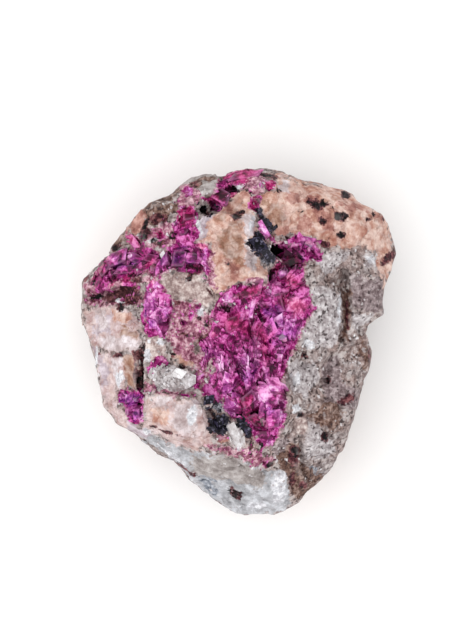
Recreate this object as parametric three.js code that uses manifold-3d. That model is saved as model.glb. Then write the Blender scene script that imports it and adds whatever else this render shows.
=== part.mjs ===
// Rough salrose: a fist-sized chunk of grey host rock with peach calcite, magenta
// cobalt-bearing crystals, a few black crystals and some white quartz, all grown
// together, so the whole stone is one solid. Millimetres, +Z up. It lies on a flat
// fracture face at z = 0 with its crystal face up, and the origin is the middle of
// its bounding box at the bottom.

import * as THREE from 'three';
import { ImprovedNoise } from 'three/addons/math/ImprovedNoise.js';
import { mergeVertices } from 'three/addons/utils/BufferGeometryUtils.js';
import Module from 'manifold-3d';

const wasm = await Module();
wasm.setup();

// Driving dimensions.
const MIDDLE_HEIGHT = 19; // height of the point that the broken faces are measured around
const FACET_ROWS = 14; // rows of rock facets along each side of a 20-faced ball
const MERGE_DISTANCE = 1e-4;
const WELD_DISTANCE = 0.01; // corners that joins leave closer than this become one

// The outline seen from above, counter-clockwise from the left end.
const OUTLINE = [
  [-34.4, 8.2], [-34.1, 4.5], [-32.8, -0.3], [-31.2, -5.8], [-30.1, -10], [-29.2, -14.4], [-26.2, -17.9],
  [-21.8, -20.8], [-17.6, -24.1], [-14.3, -25.8], [-12.9, -27.9], [-10.3, -31.1], [-7.2, -33.1],
  [-3.4, -35.6], [-0.1, -37.9], [3.1, -38.2], [8.6, -37.3], [12.6, -35.6], [16.4, -32.4], [19.6, -29.1],
  [21.3, -26.8], [23, -23.5], [24, -18.3], [26, -14.3], [27, -9.5], [28.6, -5.8], [28.8, -2], [27.2, 1.9],
  [28.5, 4.3], [30.9, 5.9], [31.4, 11.1], [32.4, 14.7], [34.2, 17.3], [34.8, 20.1], [33.8, 21.3],
  [33.2, 24.4], [32.7, 26.8], [29.9, 28.6], [27, 30.3], [24.4, 32.8], [21.2, 34.1], [16.4, 34.8],
  [13, 35.8], [10.3, 37.2], [7.3, 37.8], [2.9, 37.9], [-0.9, 37.5], [-3.1, 36.4], [-4.3, 35.4],
  [-4.7, 37.1], [-7.4, 37], [-10.8, 36.2], [-12.5, 34.4], [-13.5, 33], [-16.1, 31.6], [-18.8, 30.7],
  [-21.4, 29.6], [-23.2, 26.9], [-24.4, 24.8], [-26.1, 24], [-27.8, 22.6], [-28.7, 19.7],
  [-30.5, 17.9], [-31.7, 15.9], [-33.7, 14.7], [-34.4, 12.2],
];

// Faces broken off the upper side: each passes through height at a distance out from
// the middle in the direction bearing (degrees), and falls outwards by slope.
const UPPER_FACES = [
  { bearing: 20, out: 0, height: 33.4, slope: 0.03 }, // crystal face
  { bearing: -6, out: 12, height: 32.8, slope: 0.58 }, // grey right flank
  { bearing: 14, out: 34, height: 24, slope: 1.2 },
  { bearing: 44, out: 19, height: 32.8, slope: 0.36 }, // peach shoulder
  { bearing: 62, out: 36, height: 26.6, slope: 1.3 },
  { bearing: 92, out: 31, height: 32.4, slope: 0.85 }, // top edge
  { bearing: 118, out: 27, height: 32, slope: 0.7 },
  { bearing: 147, out: 24, height: 32.2, slope: 0.55 }, // upper left shoulder
  { bearing: 176, out: 31, height: 26, slope: 1.2 },
  { bearing: -160, out: 27, height: 29.5, slope: 1.3 }, // pale left side
  { bearing: -132, out: 26, height: 31, slope: 1.2 },
  { bearing: -105, out: 24.6, height: 32, slope: 1.35 }, // steep blue-grey flank
  { bearing: -76, out: 31.5, height: 26, slope: 0.9 },
  { bearing: -47, out: 21, height: 30.5, slope: 0.75 }, // brown lower right corner
];

// Faces broken off the underside: each starts at a distance out from the middle, at the
// height of the rest face, and rises outwards by slope.
const LOWER_FACES = [
  { bearing: 3, out: 24, slope: 1.35 },
  { bearing: -12, out: 15.5, slope: 0.8 },
  { bearing: 37, out: 27.5, slope: 1.25 },
  { bearing: 55, out: 18.5, slope: 0.6 },
  { bearing: 84, out: 27, slope: 1.6 },
  { bearing: 101, out: 20, slope: 0.8 },
  { bearing: 131, out: 25.5, slope: 1.7 },
  { bearing: 168, out: 26, slope: 1.6 },
  { bearing: 158, out: 16.5, slope: 0.6 },
  { bearing: -151, out: 21.5, slope: 1.7 },
  { bearing: -128, out: 17, slope: 0.8 },
  { bearing: -108, out: 24, slope: 1.1 },
  { bearing: -84, out: 19, slope: 0.5 },
  { bearing: -63, out: 25, slope: 1.15 },
  { bearing: -30, out: 19, slope: 1.25 },
];

// The ledge along the left edge, a step below the crystal face.
const LEDGE = { edgeX: -21.4, from: -15.5, to: 11, drop: 3.6, wall: 1.4 };

// Broad swells (rise above zero) and hollows of the upper side: middle, half widths,
// turn in degrees and rise.
const SWELLS = [
  { x: -2.4, y: 20.6, w: 8.6, h: 10, turn: -8, rise: 1.7 }, // big peach block
  { x: -8.1, y: 33.4, w: 4.6, h: 4.4, turn: 0, rise: 2.4 }, // grey lump on the top edge
  { x: 5, y: 6, w: 10, h: 9.5, turn: 0, rise: 1.1 }, // magenta field
  { x: -13.8, y: -16.4, w: 8, h: 6.8, turn: -12, rise: 1.5 }, // lower left peach block
  { x: 28, y: 11.8, w: 4.6, h: 8.6, turn: 10, rise: 2.3 }, // grey lobes on the right
  { x: 18, y: 5.4, w: 5, h: 11.5, turn: 8, rise: 1.7 },
  { x: 16.8, y: -22.3, w: 3.8, h: 5, turn: 20, rise: 2.2 },
  { x: 25, y: 27, w: 9, h: 5.5, turn: -38, rise: 1.3 }, // peach ledges on the shoulder
  { x: 13, y: 31.5, w: 8, h: 3.6, turn: -14, rise: 0.9 },
  { x: -27.4, y: 20.2, w: 6, h: 3.8, turn: 38, rise: 1 }, // magenta band, upper left
  { x: 12.4, y: -31, w: 5.4, h: 6, turn: 0, rise: 1.1 },
  { x: -17, y: 7.5, w: 3.6, h: 6.6, turn: 8, rise: 0.9 }, // rim above the ledge
  { x: -9.5, y: 12, w: 7, h: 3.4, turn: 0, rise: -1.2 },
  { x: 4.2, y: 20.4, w: 4.2, h: 5, turn: 0, rise: -1.6 }, // hollow around the black crystal
  { x: 8, y: 15.2, w: 2.4, h: 4, turn: 0, rise: -1.6 },
  { x: -27, y: 11, w: 6.4, h: 3.2, turn: 12, rise: -1.5 }, // brown hollow
  { x: -3, y: -16.6, w: 6.6, h: 3.4, turn: -14, rise: -1.7 }, // hollow of the black crystals
  { x: 17, y: -9.6, w: 4, h: 6, turn: 0, rise: -0.9 },
  { x: -4.9, y: 29.2, w: 5.4, h: 2.2, turn: -8, rise: -2.2 }, // crevice above the peach block
];

// Roughness of the broken rock: wavelength and height of each layer, ridged where the
// rock breaks along sharp crests.
const ROUGH_LAYERS = [
  { wave: 15, height: 3, ridged: true },
  { wave: 6.5, height: 1.7, ridged: true },
  { wave: 3, height: 0.8, ridged: false },
];
const CREASE_LEVEL = 0.25; // level of a ridged layer's crests above its mean

// Single crystals on the upper side: middle, rise of the top above the rock, size as
// length, width and depth, turn, and how many degrees the top leans towards +X and +Y,
// on top of the slope of the rock it grows from.
const PEACH_BLOCKS = [
  { x: -2.6, y: 21.8, rise: 1.6, size: [9.4, 12, 8], turn: -12, lean: [2, 1] }, // big block
  { x: -6.8, y: 24, rise: 1, size: [5.6, 7.6, 6], turn: -12, lean: [-14, 4] },
  { x: -1.2, y: 15.2, rise: 1, size: [9, 6, 7], turn: 12, lean: [2, -12] },
  { x: 2, y: 22.4, rise: 1.3, size: [3.4, 9, 7], turn: -6, lean: [13, 1] },
  { x: -15.8, y: -14.6, rise: 0.9, size: [8.4, 7, 7], turn: -18, lean: [-6, 4] }, // lower left
  { x: -10.9, y: -17.2, rise: 0.8, size: [7.4, 7, 7], turn: 12, lean: [4, -4] },
  { x: -12.4, y: -13.8, rise: 1, size: [4.6, 5, 6], turn: -8, lean: [3, 6] },
  { x: -17.6, y: -18.6, rise: 0.7, size: [6, 5, 7], turn: -34, lean: [-4, -6] },
  { x: -30, y: 5, rise: 0.9, size: [5.4, 6.4, 6], turn: 8, lean: [-2, 2] }, // on the ledge
  { x: -25, y: 5.8, rise: 0.9, size: [5.6, 5.5, 6], turn: -6, lean: [-2, 3] },
  { x: -26.6, y: 0.4, rise: 0.9, size: [6.4, 4.6, 6], turn: 4, lean: [-2, -5] },
  { x: -26.2, y: -7, rise: 1.4, size: [3.2, 8.2, 6], turn: 4, lean: [-3, 0] },
  { x: -29.2, y: -4, rise: 0.8, size: [3, 6.4, 6], turn: 6, lean: [-6, 0] },
  { x: -11, y: 12, rise: 1.2, size: [9.4, 5, 6], turn: 4, lean: [-2, 3] }, // cream patch
  { x: -21.8, y: 26, rise: 0.7, size: [4.6, 6.4, 6], turn: -42, lean: [-4, 2] }, // salmon facet
  { x: 9.4, y: 29.8, rise: 0.5, size: [8, 5, 7], turn: -14, lean: [2, 1] }, // on the shoulder
  { x: 17.6, y: 27.8, rise: 0.5, size: [9, 6, 7], turn: -20, lean: [-1, 2] },
  { x: 13.6, y: 24.6, rise: 0.5, size: [6, 4, 6], turn: -28, lean: [2, -4] },
  { x: 24.4, y: 25, rise: 0.5, size: [8, 5, 7], turn: -40, lean: [1, -2] },
  { x: 27.6, y: 20.2, rise: 0.4, size: [6, 6, 7], turn: -14, lean: [2, 0] },
  { x: -12.8, y: -1.6, rise: 0.5, size: [6, 7, 6], turn: 10, lean: [3, -4] },
];

const MAGENTA_BLOCKS = [
  { x: 11.8, y: 8.2, rise: 1.3, size: [5.8, 5, 5], turn: 10, lean: [10, -8] }, // bright rhomb
  { x: 5.6, y: 10.9, rise: 1.2, size: [6, 4, 5], turn: -16, lean: [-8, 8] },
  { x: 3.4, y: 5.6, rise: 1, size: [4.6, 3.6, 5], turn: 58, lean: [8, -12] },
  { x: 8.4, y: 2.6, rise: 1.1, size: [4.8, 3.4, 5], turn: -16, lean: [10, 10] },
  { x: 6.2, y: -11.4, rise: 1.5, size: [6.2, 4.4, 5], turn: -6, lean: [-4, -8] },
  { x: -4.6, y: -8.4, rise: 0.9, size: [4.6, 3.2, 5], turn: -34, lean: [6, -12] },
  { x: 0.4, y: 34.2, rise: 0.8, size: [7.8, 4, 7], turn: 12, lean: [-3, 4] }, // top edge
  { x: -4.2, y: 30.8, rise: 0.8, size: [6.4, 3, 6], turn: 34, lean: [-8, 4] },
  { x: 6.6, y: 34, rise: 0.6, size: [5, 3, 6], turn: -6, lean: [3, 2] },
  { x: -26, y: 18.9, rise: 1.1, size: [4.4, 3.2, 5], turn: 36, lean: [-9, 4] },
  { x: -29.4, y: 16.6, rise: 0.8, size: [4, 3, 5], turn: 40, lean: [-6, 4] },
  { x: -13.6, y: 17.8, rise: 1.2, size: [3, 3.8, 5], turn: 12, lean: [8, 6] },
  { x: -17.2, y: 16, rise: 1, size: [3.6, 3.4, 5], turn: 24, lean: [-10, -8] },
  { x: 6.6, y: 23, rise: 1.8, size: [1.8, 5, 6], turn: 26, lean: [12, 0] },
];

const DARK_BLOCKS = [
  { x: 3.8, y: 21.6, rise: 2.1, size: [3, 3.4, 6], turn: 40, lean: [-8, 10] },
  { x: 6, y: 19.6, rise: 1.6, size: [3.2, 2.6, 5], turn: -20, lean: [10, -6] },
  { x: -4.4, y: -17.2, rise: 1.7, size: [3.6, 3.2, 5], turn: 28, lean: [10, -6] },
  { x: -6.8, y: -12.6, rise: 1.4, size: [2.6, 2.4, 5], turn: 10, lean: [-6, 8] },
  { x: 0.5, y: -18.4, rise: 1.4, size: [2.8, 3, 5], turn: 50, lean: [-4, -8] },
];

const WHITE_BLOCKS = [
  { x: -12.4, y: -7.8, rise: 1.6, size: [4, 3.6, 5], turn: 16, lean: [6, -14] },
  { x: -16.4, y: -7.4, rise: 1.1, size: [3.6, 3, 5], turn: -20, lean: [-10, -6] },
  { x: -1, y: -20.3, rise: 1.5, size: [2.4, 5.4, 5], turn: 34, lean: [4, -10] },
];

// Fields of small magenta crystals: middle, half widths, turn of the field, count,
// size of a crystal and the way most of its blades point.
const MAGENTA_FIELDS = [
  { x: 5.4, y: 7, w: 7.2, h: 6.6, turn: 0, count: 13, size: 3.5, lie: 20 },
  { x: 1.6, y: -2.6, w: 8, h: 6, turn: 0, count: 14, size: 3.4, lie: 80 },
  { x: -1.6, y: -9.6, w: 6, h: 3, turn: -24, count: 5, size: 3, lie: 50 },
  { x: 6.8, y: -17, w: 3, h: 5, turn: 0, count: 6, size: 2.9, lie: 60 },
  { x: 12.8, y: 20.4, w: 4.4, h: 2.2, turn: -8, count: 5, size: 3, lie: -20 },
  { x: -14.4, y: 24, w: 4, h: 6, turn: -34, count: 7, size: 3.1, lie: 40 },
  { x: -24.6, y: 17.6, w: 5.4, h: 2.6, turn: 34, count: 4, size: 3.1, lie: 30 },
  { x: -17.6, y: 8, w: 2.4, h: 5, turn: 4, count: 5, size: 3.1, lie: 70 },
  { x: -23.6, y: -13.8, w: 2, h: 2.6, turn: 0, count: 4, size: 2.7, lie: 10 },
];
const FIELD_RISE = [0.3, 1.1]; // least and most that a small crystal stands proud
const BLADE_WIDTH = [0.4, 0.85]; // as a part of its length
const BLADE_LEAN = 26; // degrees any way
const SLOPE_REACH = 2; // how far around a crystal the rock's slope is taken
const CLEAVAGE_SHEAR = 0.27; // sideways lean of a crystal's walls, per unit of depth

// Deep, narrow pockets: middle, width, depth below the rock around, sides.
const POCKETS = [
  { x: 9.2, y: 19.6, width: 4.2, depth: 5 },
  { x: -2.3, y: 33.2, width: 3, depth: 3 },
  { x: -7.6, y: 29.3, width: 3, depth: 3 },
  { x: -22.2, y: -13.3, width: 2.4, depth: 4 },
  { x: 2.8, y: -11.2, width: 2.4, depth: 3 },
  { x: 3.4, y: -15.1, width: 2.2, depth: 3 },
  { x: -0.4, y: -15.6, width: 1.8, depth: 2.6 },
  { x: -17.1, y: 18.4, width: 1.8, depth: 2.6 },
];
const POCKET_SIDES = 5;

// Sharp notches in the edge of the stone, cut straight down: middle of the mouth, width
// and depth into the stone.
const EDGE_NOTCHES = [
  { x: -3.9, y: 37.4, width: 2.6, depth: 2.9, bearing: 94 }, // between the grey lump and the magenta
];
const NOTCH_FLOOR = 17; // height that the notches reach down to

// The dark groove between the two grey lobes, and the crack at the foot of the ledge.
const GROOVES = [
  { route: [[23, 15.4], [22.6, 11.8], [23.4, 8], [23.2, 4], [22.4, 0.6]], width: 2.8, depth: 2.3 },
  { route: [[20.4, -2.6], [19.8, -5.4], [19.2, -8.6]], width: 1.6, depth: 1.5 },
  { route: [[-21.4, 9], [-21.7, 3], [-21.4, -3], [-22, -9], [-22, -15]], width: 1.6, depth: 2.2 },
  { route: [[-9.6, 28], [-7.4, 29.2], [-4.8, 29.8]], width: 2, depth: 2.4 },
];

const toRadians = THREE.MathUtils.degToRad;
const smoothstep = THREE.MathUtils.smoothstep;

// A seeded row of numbers from 0 to 1, the same on every run.
function seededRandom(seed) {
  let state = seed;
  return () => {
    state = (state * 1664525 + 1013904223) % 4294967296;
    return state / 4294967296;
  };
}

function toSolid(geometry) {
  const bare = geometry.clone();
  bare.deleteAttribute('normal');
  bare.deleteAttribute('uv');
  const merged = mergeVertices(bare, MERGE_DISTANCE);
  const mesh = new wasm.Mesh({
    numProp: 3,
    vertProperties: new Float32Array(merged.attributes.position.array),
    triVerts: new Uint32Array(merged.index.array),
  });
  return new wasm.Manifold(mesh);
}

function toGeometry(solid) {
  const mesh = solid.getMesh();
  const geometry = new THREE.BufferGeometry();
  geometry.setAttribute('position', new THREE.BufferAttribute(mesh.vertProperties, 3));
  geometry.setIndex(new THREE.BufferAttribute(mesh.triVerts, 1));
  return geometry;
}

// Distance from the middle to the outline in one direction.
function outlineReach(angle) {
  const forward = new THREE.Vector2(Math.cos(angle), Math.sin(angle));
  let reach = 0;
  OUTLINE.forEach(([startX, startY], i) => {
    const [endX, endY] = OUTLINE[(i + 1) % OUTLINE.length];
    const start = new THREE.Vector2(startX, startY);
    const side = new THREE.Vector2(endX - startX, endY - startY);
    const crossing = forward.cross(side);
    const out = start.cross(side) / crossing;
    const along = start.cross(forward) / crossing;
    if (out > 0 && along >= 0 && along <= 1) {
      reach = Math.max(reach, out);
    }
  });
  return reach;
}

// Distance from the middle of the stone to its nearest broken face in one direction.
function faceReach(direction) {
  const level = Math.hypot(direction.x, direction.y);
  const reaches = [outlineReach(Math.atan2(direction.y, direction.x)) / Math.max(level, 1e-6)];
  if (direction.z < 0) {
    reaches.push(MIDDLE_HEIGHT / -direction.z);
  }
  for (const { bearing, out, height, slope } of UPPER_FACES) {
    const outward = Math.cos(toRadians(bearing)) * direction.x + Math.sin(toRadians(bearing)) * direction.y;
    const closing = direction.z + slope * outward;
    if (closing > 0) {
      reaches.push((height + slope * out - MIDDLE_HEIGHT) / closing);
    }
  }
  for (const { bearing, out, slope } of LOWER_FACES) {
    const outward = Math.cos(toRadians(bearing)) * direction.x + Math.sin(toRadians(bearing)) * direction.y;
    const closing = slope * outward - direction.z;
    if (closing > 0) {
      reaches.push((MIDDLE_HEIGHT + slope * out) / closing);
    }
  }
  return Math.min(...reaches);
}

function ledgeDrop(x, y) {
  const inwards = Math.min(LEDGE.edgeX - x, y - LEDGE.from, LEDGE.to - y);
  return LEDGE.drop * smoothstep(inwards, 0, LEDGE.wall);
}

// Height of the swells, hollows and ledge above the broken faces.
function relief(x, y) {
  let height = -ledgeDrop(x, y);
  for (const swell of SWELLS) {
    const angle = toRadians(swell.turn);
    const dx = x - swell.x;
    const dy = y - swell.y;
    const along = (dx * Math.cos(angle) + dy * Math.sin(angle)) / swell.w;
    const across = (dy * Math.cos(angle) - dx * Math.sin(angle)) / swell.h;
    height += swell.rise * (1 - smoothstep(Math.hypot(along, across), 0.45, 1.15));
  }
  return height;
}

const noise = new ImprovedNoise();

function roughness(x, y, z) {
  let height = 0;
  for (const layer of ROUGH_LAYERS) {
    const value = noise.noise(x / layer.wave + 7.3, y / layer.wave + 2.9, z / layer.wave + 5.1);
    height += layer.height * (layer.ridged ? CREASE_LEVEL - Math.abs(value) : value);
  }
  return height;
}

// The bare rock: a ball of small facets drawn out to the broken faces, then roughened.
function roughRock() {
  const ball = new THREE.IcosahedronGeometry(1, FACET_ROWS);
  ball.deleteAttribute('normal');
  ball.deleteAttribute('uv');
  const rock = mergeVertices(ball, MERGE_DISTANCE);
  const place = rock.attributes.position;
  const point = new THREE.Vector3();
  for (let i = 0; i < place.count; i += 1) {
    point.fromBufferAttribute(place, i).normalize();
    point.multiplyScalar(faceReach(point));
    place.setXYZ(i, point.x, point.y, Math.max(point.z + MIDDLE_HEIGHT, 0));
  }
  rock.computeVertexNormals();
  const outward = new THREE.Vector3();
  for (let i = 0; i < place.count; i += 1) {
    point.fromBufferAttribute(place, i);
    outward.fromBufferAttribute(rock.attributes.normal, i);
    const lifted = smoothstep(point.z, 0.01, 2.5);
    const rough = roughness(point.x, point.y, point.z);
    const swell = relief(point.x, point.y) * smoothstep(outward.z, 0.2, 0.7);
    point.addScaledVector(outward, rough * lifted * (0.6 + 0.4 * outward.z));
    place.setXYZ(i, point.x, point.y, point.z + swell);
  }
  return rock;
}

// Height of the broken faces with their swells, above a point.
function smoothTop(x, y) {
  const heights = UPPER_FACES.map(({ bearing, out, height, slope }) => {
    const outward = x * Math.cos(toRadians(bearing)) + y * Math.sin(toRadians(bearing));
    return height - slope * (outward - out);
  });
  return Math.min(...heights) + relief(x, y);
}

function rockTop(x, y) {
  const smooth = smoothTop(x, y);
  return smooth + roughness(x, y, smooth - relief(x, y));
}

// One crystal with flat faces, its walls leaning as calcite cleaves.
function crystal({ x, y, rise, size, turn, lean }) {
  const [length, width, depth] = size;
  const block = new THREE.BoxGeometry(length, width, depth);
  block.translate(0, 0, -depth / 2);
  block.applyMatrix4(new THREE.Matrix4().makeShear(0, 0, 0, 0, CLEAVAGE_SHEAR, 0));
  block.rotateZ(toRadians(turn));
  const downX = smoothTop(x - SLOPE_REACH, y) - smoothTop(x + SLOPE_REACH, y);
  const downY = smoothTop(x, y - SLOPE_REACH) - smoothTop(x, y + SLOPE_REACH);
  block.rotateY(toRadians(lean[0]) + Math.atan(downX / (2 * SLOPE_REACH)));
  block.rotateX(-toRadians(lean[1]) - Math.atan(downY / (2 * SLOPE_REACH)));
  block.translate(x, y, rockTop(x, y) + rise);
  return toSolid(block);
}

function fieldCrystals(field, random) {
  const angle = toRadians(field.turn);
  const crystals = [];
  for (let i = 0; i < field.count; i += 1) {
    const bearing = random() * Math.PI * 2;
    const out = Math.sqrt(random());
    const along = Math.cos(bearing) * out * field.w;
    const across = Math.sin(bearing) * out * field.h;
    const length = field.size * (0.7 + 0.6 * random());
    const width = length * THREE.MathUtils.lerp(...BLADE_WIDTH, random());
    crystals.push(crystal({
      x: field.x + along * Math.cos(angle) - across * Math.sin(angle),
      y: field.y + along * Math.sin(angle) + across * Math.cos(angle),
      rise: THREE.MathUtils.lerp(...FIELD_RISE, random()),
      size: [length, width, field.size * 1.5],
      turn: field.lie + (random() - 0.5) * 100,
      lean: [(random() - 0.5) * 2 * BLADE_LEAN, (random() - 0.5) * 2 * BLADE_LEAN],
    }));
  }
  return crystals;
}

function pocketCut({ x, y, width, depth }) {
  const above = 6;
  const cut = new THREE.CylinderGeometry(width * 0.85, width * 0.16, depth + above, POCKET_SIDES);
  cut.rotateX(Math.PI / 2);
  cut.rotateZ(x + y);
  cut.translate(x, y, rockTop(x, y) - depth + (depth + above) / 2);
  return toSolid(cut);
}

// A three-sided prism with one edge pointing into the stone.
function notchCut({ x, y, width, depth, bearing }) {
  const radius = depth / 1.5;
  const height = 2 * (MIDDLE_HEIGHT * 2 - NOTCH_FLOOR);
  const cut = new THREE.CylinderGeometry(radius, radius, height, 3);
  cut.rotateX(Math.PI / 2);
  cut.scale(width / (radius * Math.sqrt(3)), 1, 1);
  cut.translate(0, -radius / 2, 0);
  cut.rotateZ(toRadians(bearing - 90));
  cut.translate(x, y, NOTCH_FLOOR + height / 2);
  return toSolid(cut);
}

// A V-shaped cut along each straight stretch of a groove's route.
function grooveCuts({ route, width, depth }) {
  const points = route.map(([x, y]) => new THREE.Vector3(x, y, rockTop(x, y)));
  return points.slice(1).map((end, i) => {
    const start = points[i];
    const run = new THREE.Vector3().subVectors(end, start);
    const level = Math.hypot(run.x, run.y);
    const side = width * Math.SQRT1_2;
    const cut = new THREE.BoxGeometry(run.length() + width / 2, side, side);
    cut.rotateX(Math.PI / 4);
    cut.scale(1, 1, (2 * depth) / width);
    cut.rotateY(-Math.atan2(run.z, level));
    cut.rotateZ(Math.atan2(run.y, run.x));
    cut.translate(start.x + run.x / 2, start.y + run.y / 2, start.z + run.z / 2);
    return toSolid(cut);
  });
}

// The solid without the small voids that crystals growing together close off.
function outerShell(solid) {
  const shells = solid.decompose();
  return shells.reduce((largest, shell) => (shell.volume() > largest.volume() ? shell : largest));
}

// Welds corners that lie almost on each other and drops the facets that collapse.
function welded(geometry) {
  const merged = mergeVertices(geometry, WELD_DISTANCE);
  const corners = merged.index.array;
  const kept = [];
  for (let i = 0; i < corners.length; i += 3) {
    const [a, b, c] = corners.slice(i, i + 3);
    if (a !== b && b !== c && c !== a) {
      kept.push(a, b, c);
    }
  }
  merged.setIndex(kept);
  return merged;
}

// Moves the stone so that the middle of its bounding box is over the origin.
function centred(geometry) {
  geometry.computeBoundingBox();
  const middle = geometry.boundingBox.getCenter(new THREE.Vector3());
  return geometry.translate(-middle.x, -middle.y, 0);
}

function buildStone() {
  const rock = toSolid(roughRock());
  const random = seededRandom(1806);
  const singles = [...PEACH_BLOCKS, ...MAGENTA_BLOCKS, ...DARK_BLOCKS, ...WHITE_BLOCKS].map(crystal);
  const small = MAGENTA_FIELDS.flatMap((field) => fieldCrystals(field, random));
  let stone = rock;
  for (const grown of [...singles, ...small]) {
    stone = stone.add(grown);
  }
  const hollows = [...POCKETS.map(pocketCut), ...EDGE_NOTCHES.map(notchCut), ...GROOVES.flatMap(grooveCuts)];
  for (const hollow of hollows) {
    stone = stone.subtract(hollow);
  }
  return centred(welded(toGeometry(outerShell(stone))));
}

const stoneMaterial = new THREE.MeshStandardMaterial({
  color: 0xb89a98,
  roughness: 0.75,
  metalness: 0,
  flatShading: true,
});

const stone = new THREE.Mesh(buildStone(), stoneMaterial);
stone.name = 'stone';

const part = new THREE.Group();
part.add(stone);

export default part;
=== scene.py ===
import math

import bmesh
import bpy
import numpy as np
from mathutils import Matrix, Vector, noise
from mathutils.bvhtree import BVHTree
from mathutils.kdtree import KDTree


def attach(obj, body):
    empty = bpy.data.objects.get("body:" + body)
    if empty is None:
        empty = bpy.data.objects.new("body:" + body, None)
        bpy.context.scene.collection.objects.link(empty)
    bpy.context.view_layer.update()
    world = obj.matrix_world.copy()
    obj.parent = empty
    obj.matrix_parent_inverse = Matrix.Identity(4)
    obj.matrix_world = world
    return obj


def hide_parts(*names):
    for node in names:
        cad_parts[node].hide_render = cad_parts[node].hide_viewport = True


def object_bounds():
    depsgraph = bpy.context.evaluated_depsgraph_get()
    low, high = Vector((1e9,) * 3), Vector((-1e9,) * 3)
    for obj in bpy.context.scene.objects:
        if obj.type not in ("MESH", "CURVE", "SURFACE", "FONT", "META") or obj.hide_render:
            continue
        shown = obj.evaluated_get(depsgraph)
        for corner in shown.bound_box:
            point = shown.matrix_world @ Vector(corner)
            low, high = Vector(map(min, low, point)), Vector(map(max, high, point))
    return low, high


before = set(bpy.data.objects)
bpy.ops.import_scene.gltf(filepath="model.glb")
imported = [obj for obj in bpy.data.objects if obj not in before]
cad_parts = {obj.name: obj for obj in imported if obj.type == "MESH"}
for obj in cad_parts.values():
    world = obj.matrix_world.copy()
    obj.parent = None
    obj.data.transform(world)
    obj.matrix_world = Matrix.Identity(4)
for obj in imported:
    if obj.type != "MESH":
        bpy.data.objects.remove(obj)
cad_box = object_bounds()

# The setting: a matt white table with one large soft lamp high at the lower left and even
# light from all round, and a camera straight above the crystal face of the stone.
MM = 0.001
LOOKED_AT = Vector((-3.1, 4.6, 20.0)) * MM
VIEW_HEIGHT = 141.5 * MM  # length of the table that is in view
CAMERA_UP = 900 * MM
SENSOR = 24.0
TABLE_REACH = 800 * MM  # from the middle of the table to each of its edges
TABLE_DROP = 0.2 * MM  # how far the table lies below the stone
TABLE_CORNERS = ((-1, -1), (1, -1), (1, 1), (-1, 1))


def new_paint(name):
    """A material, its node tree and its shader."""
    paint = bpy.data.materials.new(name)
    paint.use_nodes = True
    return paint, paint.node_tree, paint.node_tree.nodes["Principled BSDF"]


table_mesh = bpy.data.meshes.new("table_top")
corners = [(x * TABLE_REACH, y * TABLE_REACH, -TABLE_DROP) for x, y in TABLE_CORNERS]
table_mesh.from_pydata(corners, [], [(0, 1, 2, 3)])
table_top = bpy.data.objects.new("table_top", table_mesh)
bpy.context.collection.objects.link(table_top)
table_paint, _, table_shader = new_paint("matt_white")
table_shader.inputs["Base Color"].default_value = (0.95, 0.95, 0.95, 1)
table_shader.inputs["Roughness"].default_value = 0.9
table_mesh.materials.append(table_paint)

camera_data = bpy.data.cameras.new("camera")
camera_data.sensor_fit = "VERTICAL"
camera_data.sensor_height = SENSOR
camera_data.lens = SENSOR * CAMERA_UP / VIEW_HEIGHT
camera_data.clip_start = 0.01
camera = bpy.data.objects.new("camera", camera_data)
camera.location = LOOKED_AT + Vector((0, 0, CAMERA_UP))
bpy.context.collection.objects.link(camera)
bpy.context.scene.camera = camera


def add_lamp(name, place, size, power, colour):
    """A square lamp that faces the stone."""
    lamp_data = bpy.data.lights.new(name, "AREA")
    lamp_data.size = size
    lamp_data.energy = power
    lamp_data.color = colour
    lamp = bpy.data.objects.new(name, lamp_data)
    lamp.location = place
    lamp.rotation_euler = (-Vector(place)).to_track_quat("-Z", "Y").to_euler()
    bpy.context.collection.objects.link(lamp)


add_lamp("left_softbox", (-0.26, -0.14, 0.62), 1.0, 2.3, (1.0, 0.985, 0.965))

sky = bpy.data.worlds.new("even_light")
sky.use_nodes = True
sky.node_tree.nodes["Background"].inputs["Color"].default_value = (1.0, 0.995, 0.99, 1)
sky.node_tree.nodes["Background"].inputs["Strength"].default_value = 1.05
bpy.context.scene.world = sky
bpy.context.scene.view_settings.view_transform = "Standard"

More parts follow.
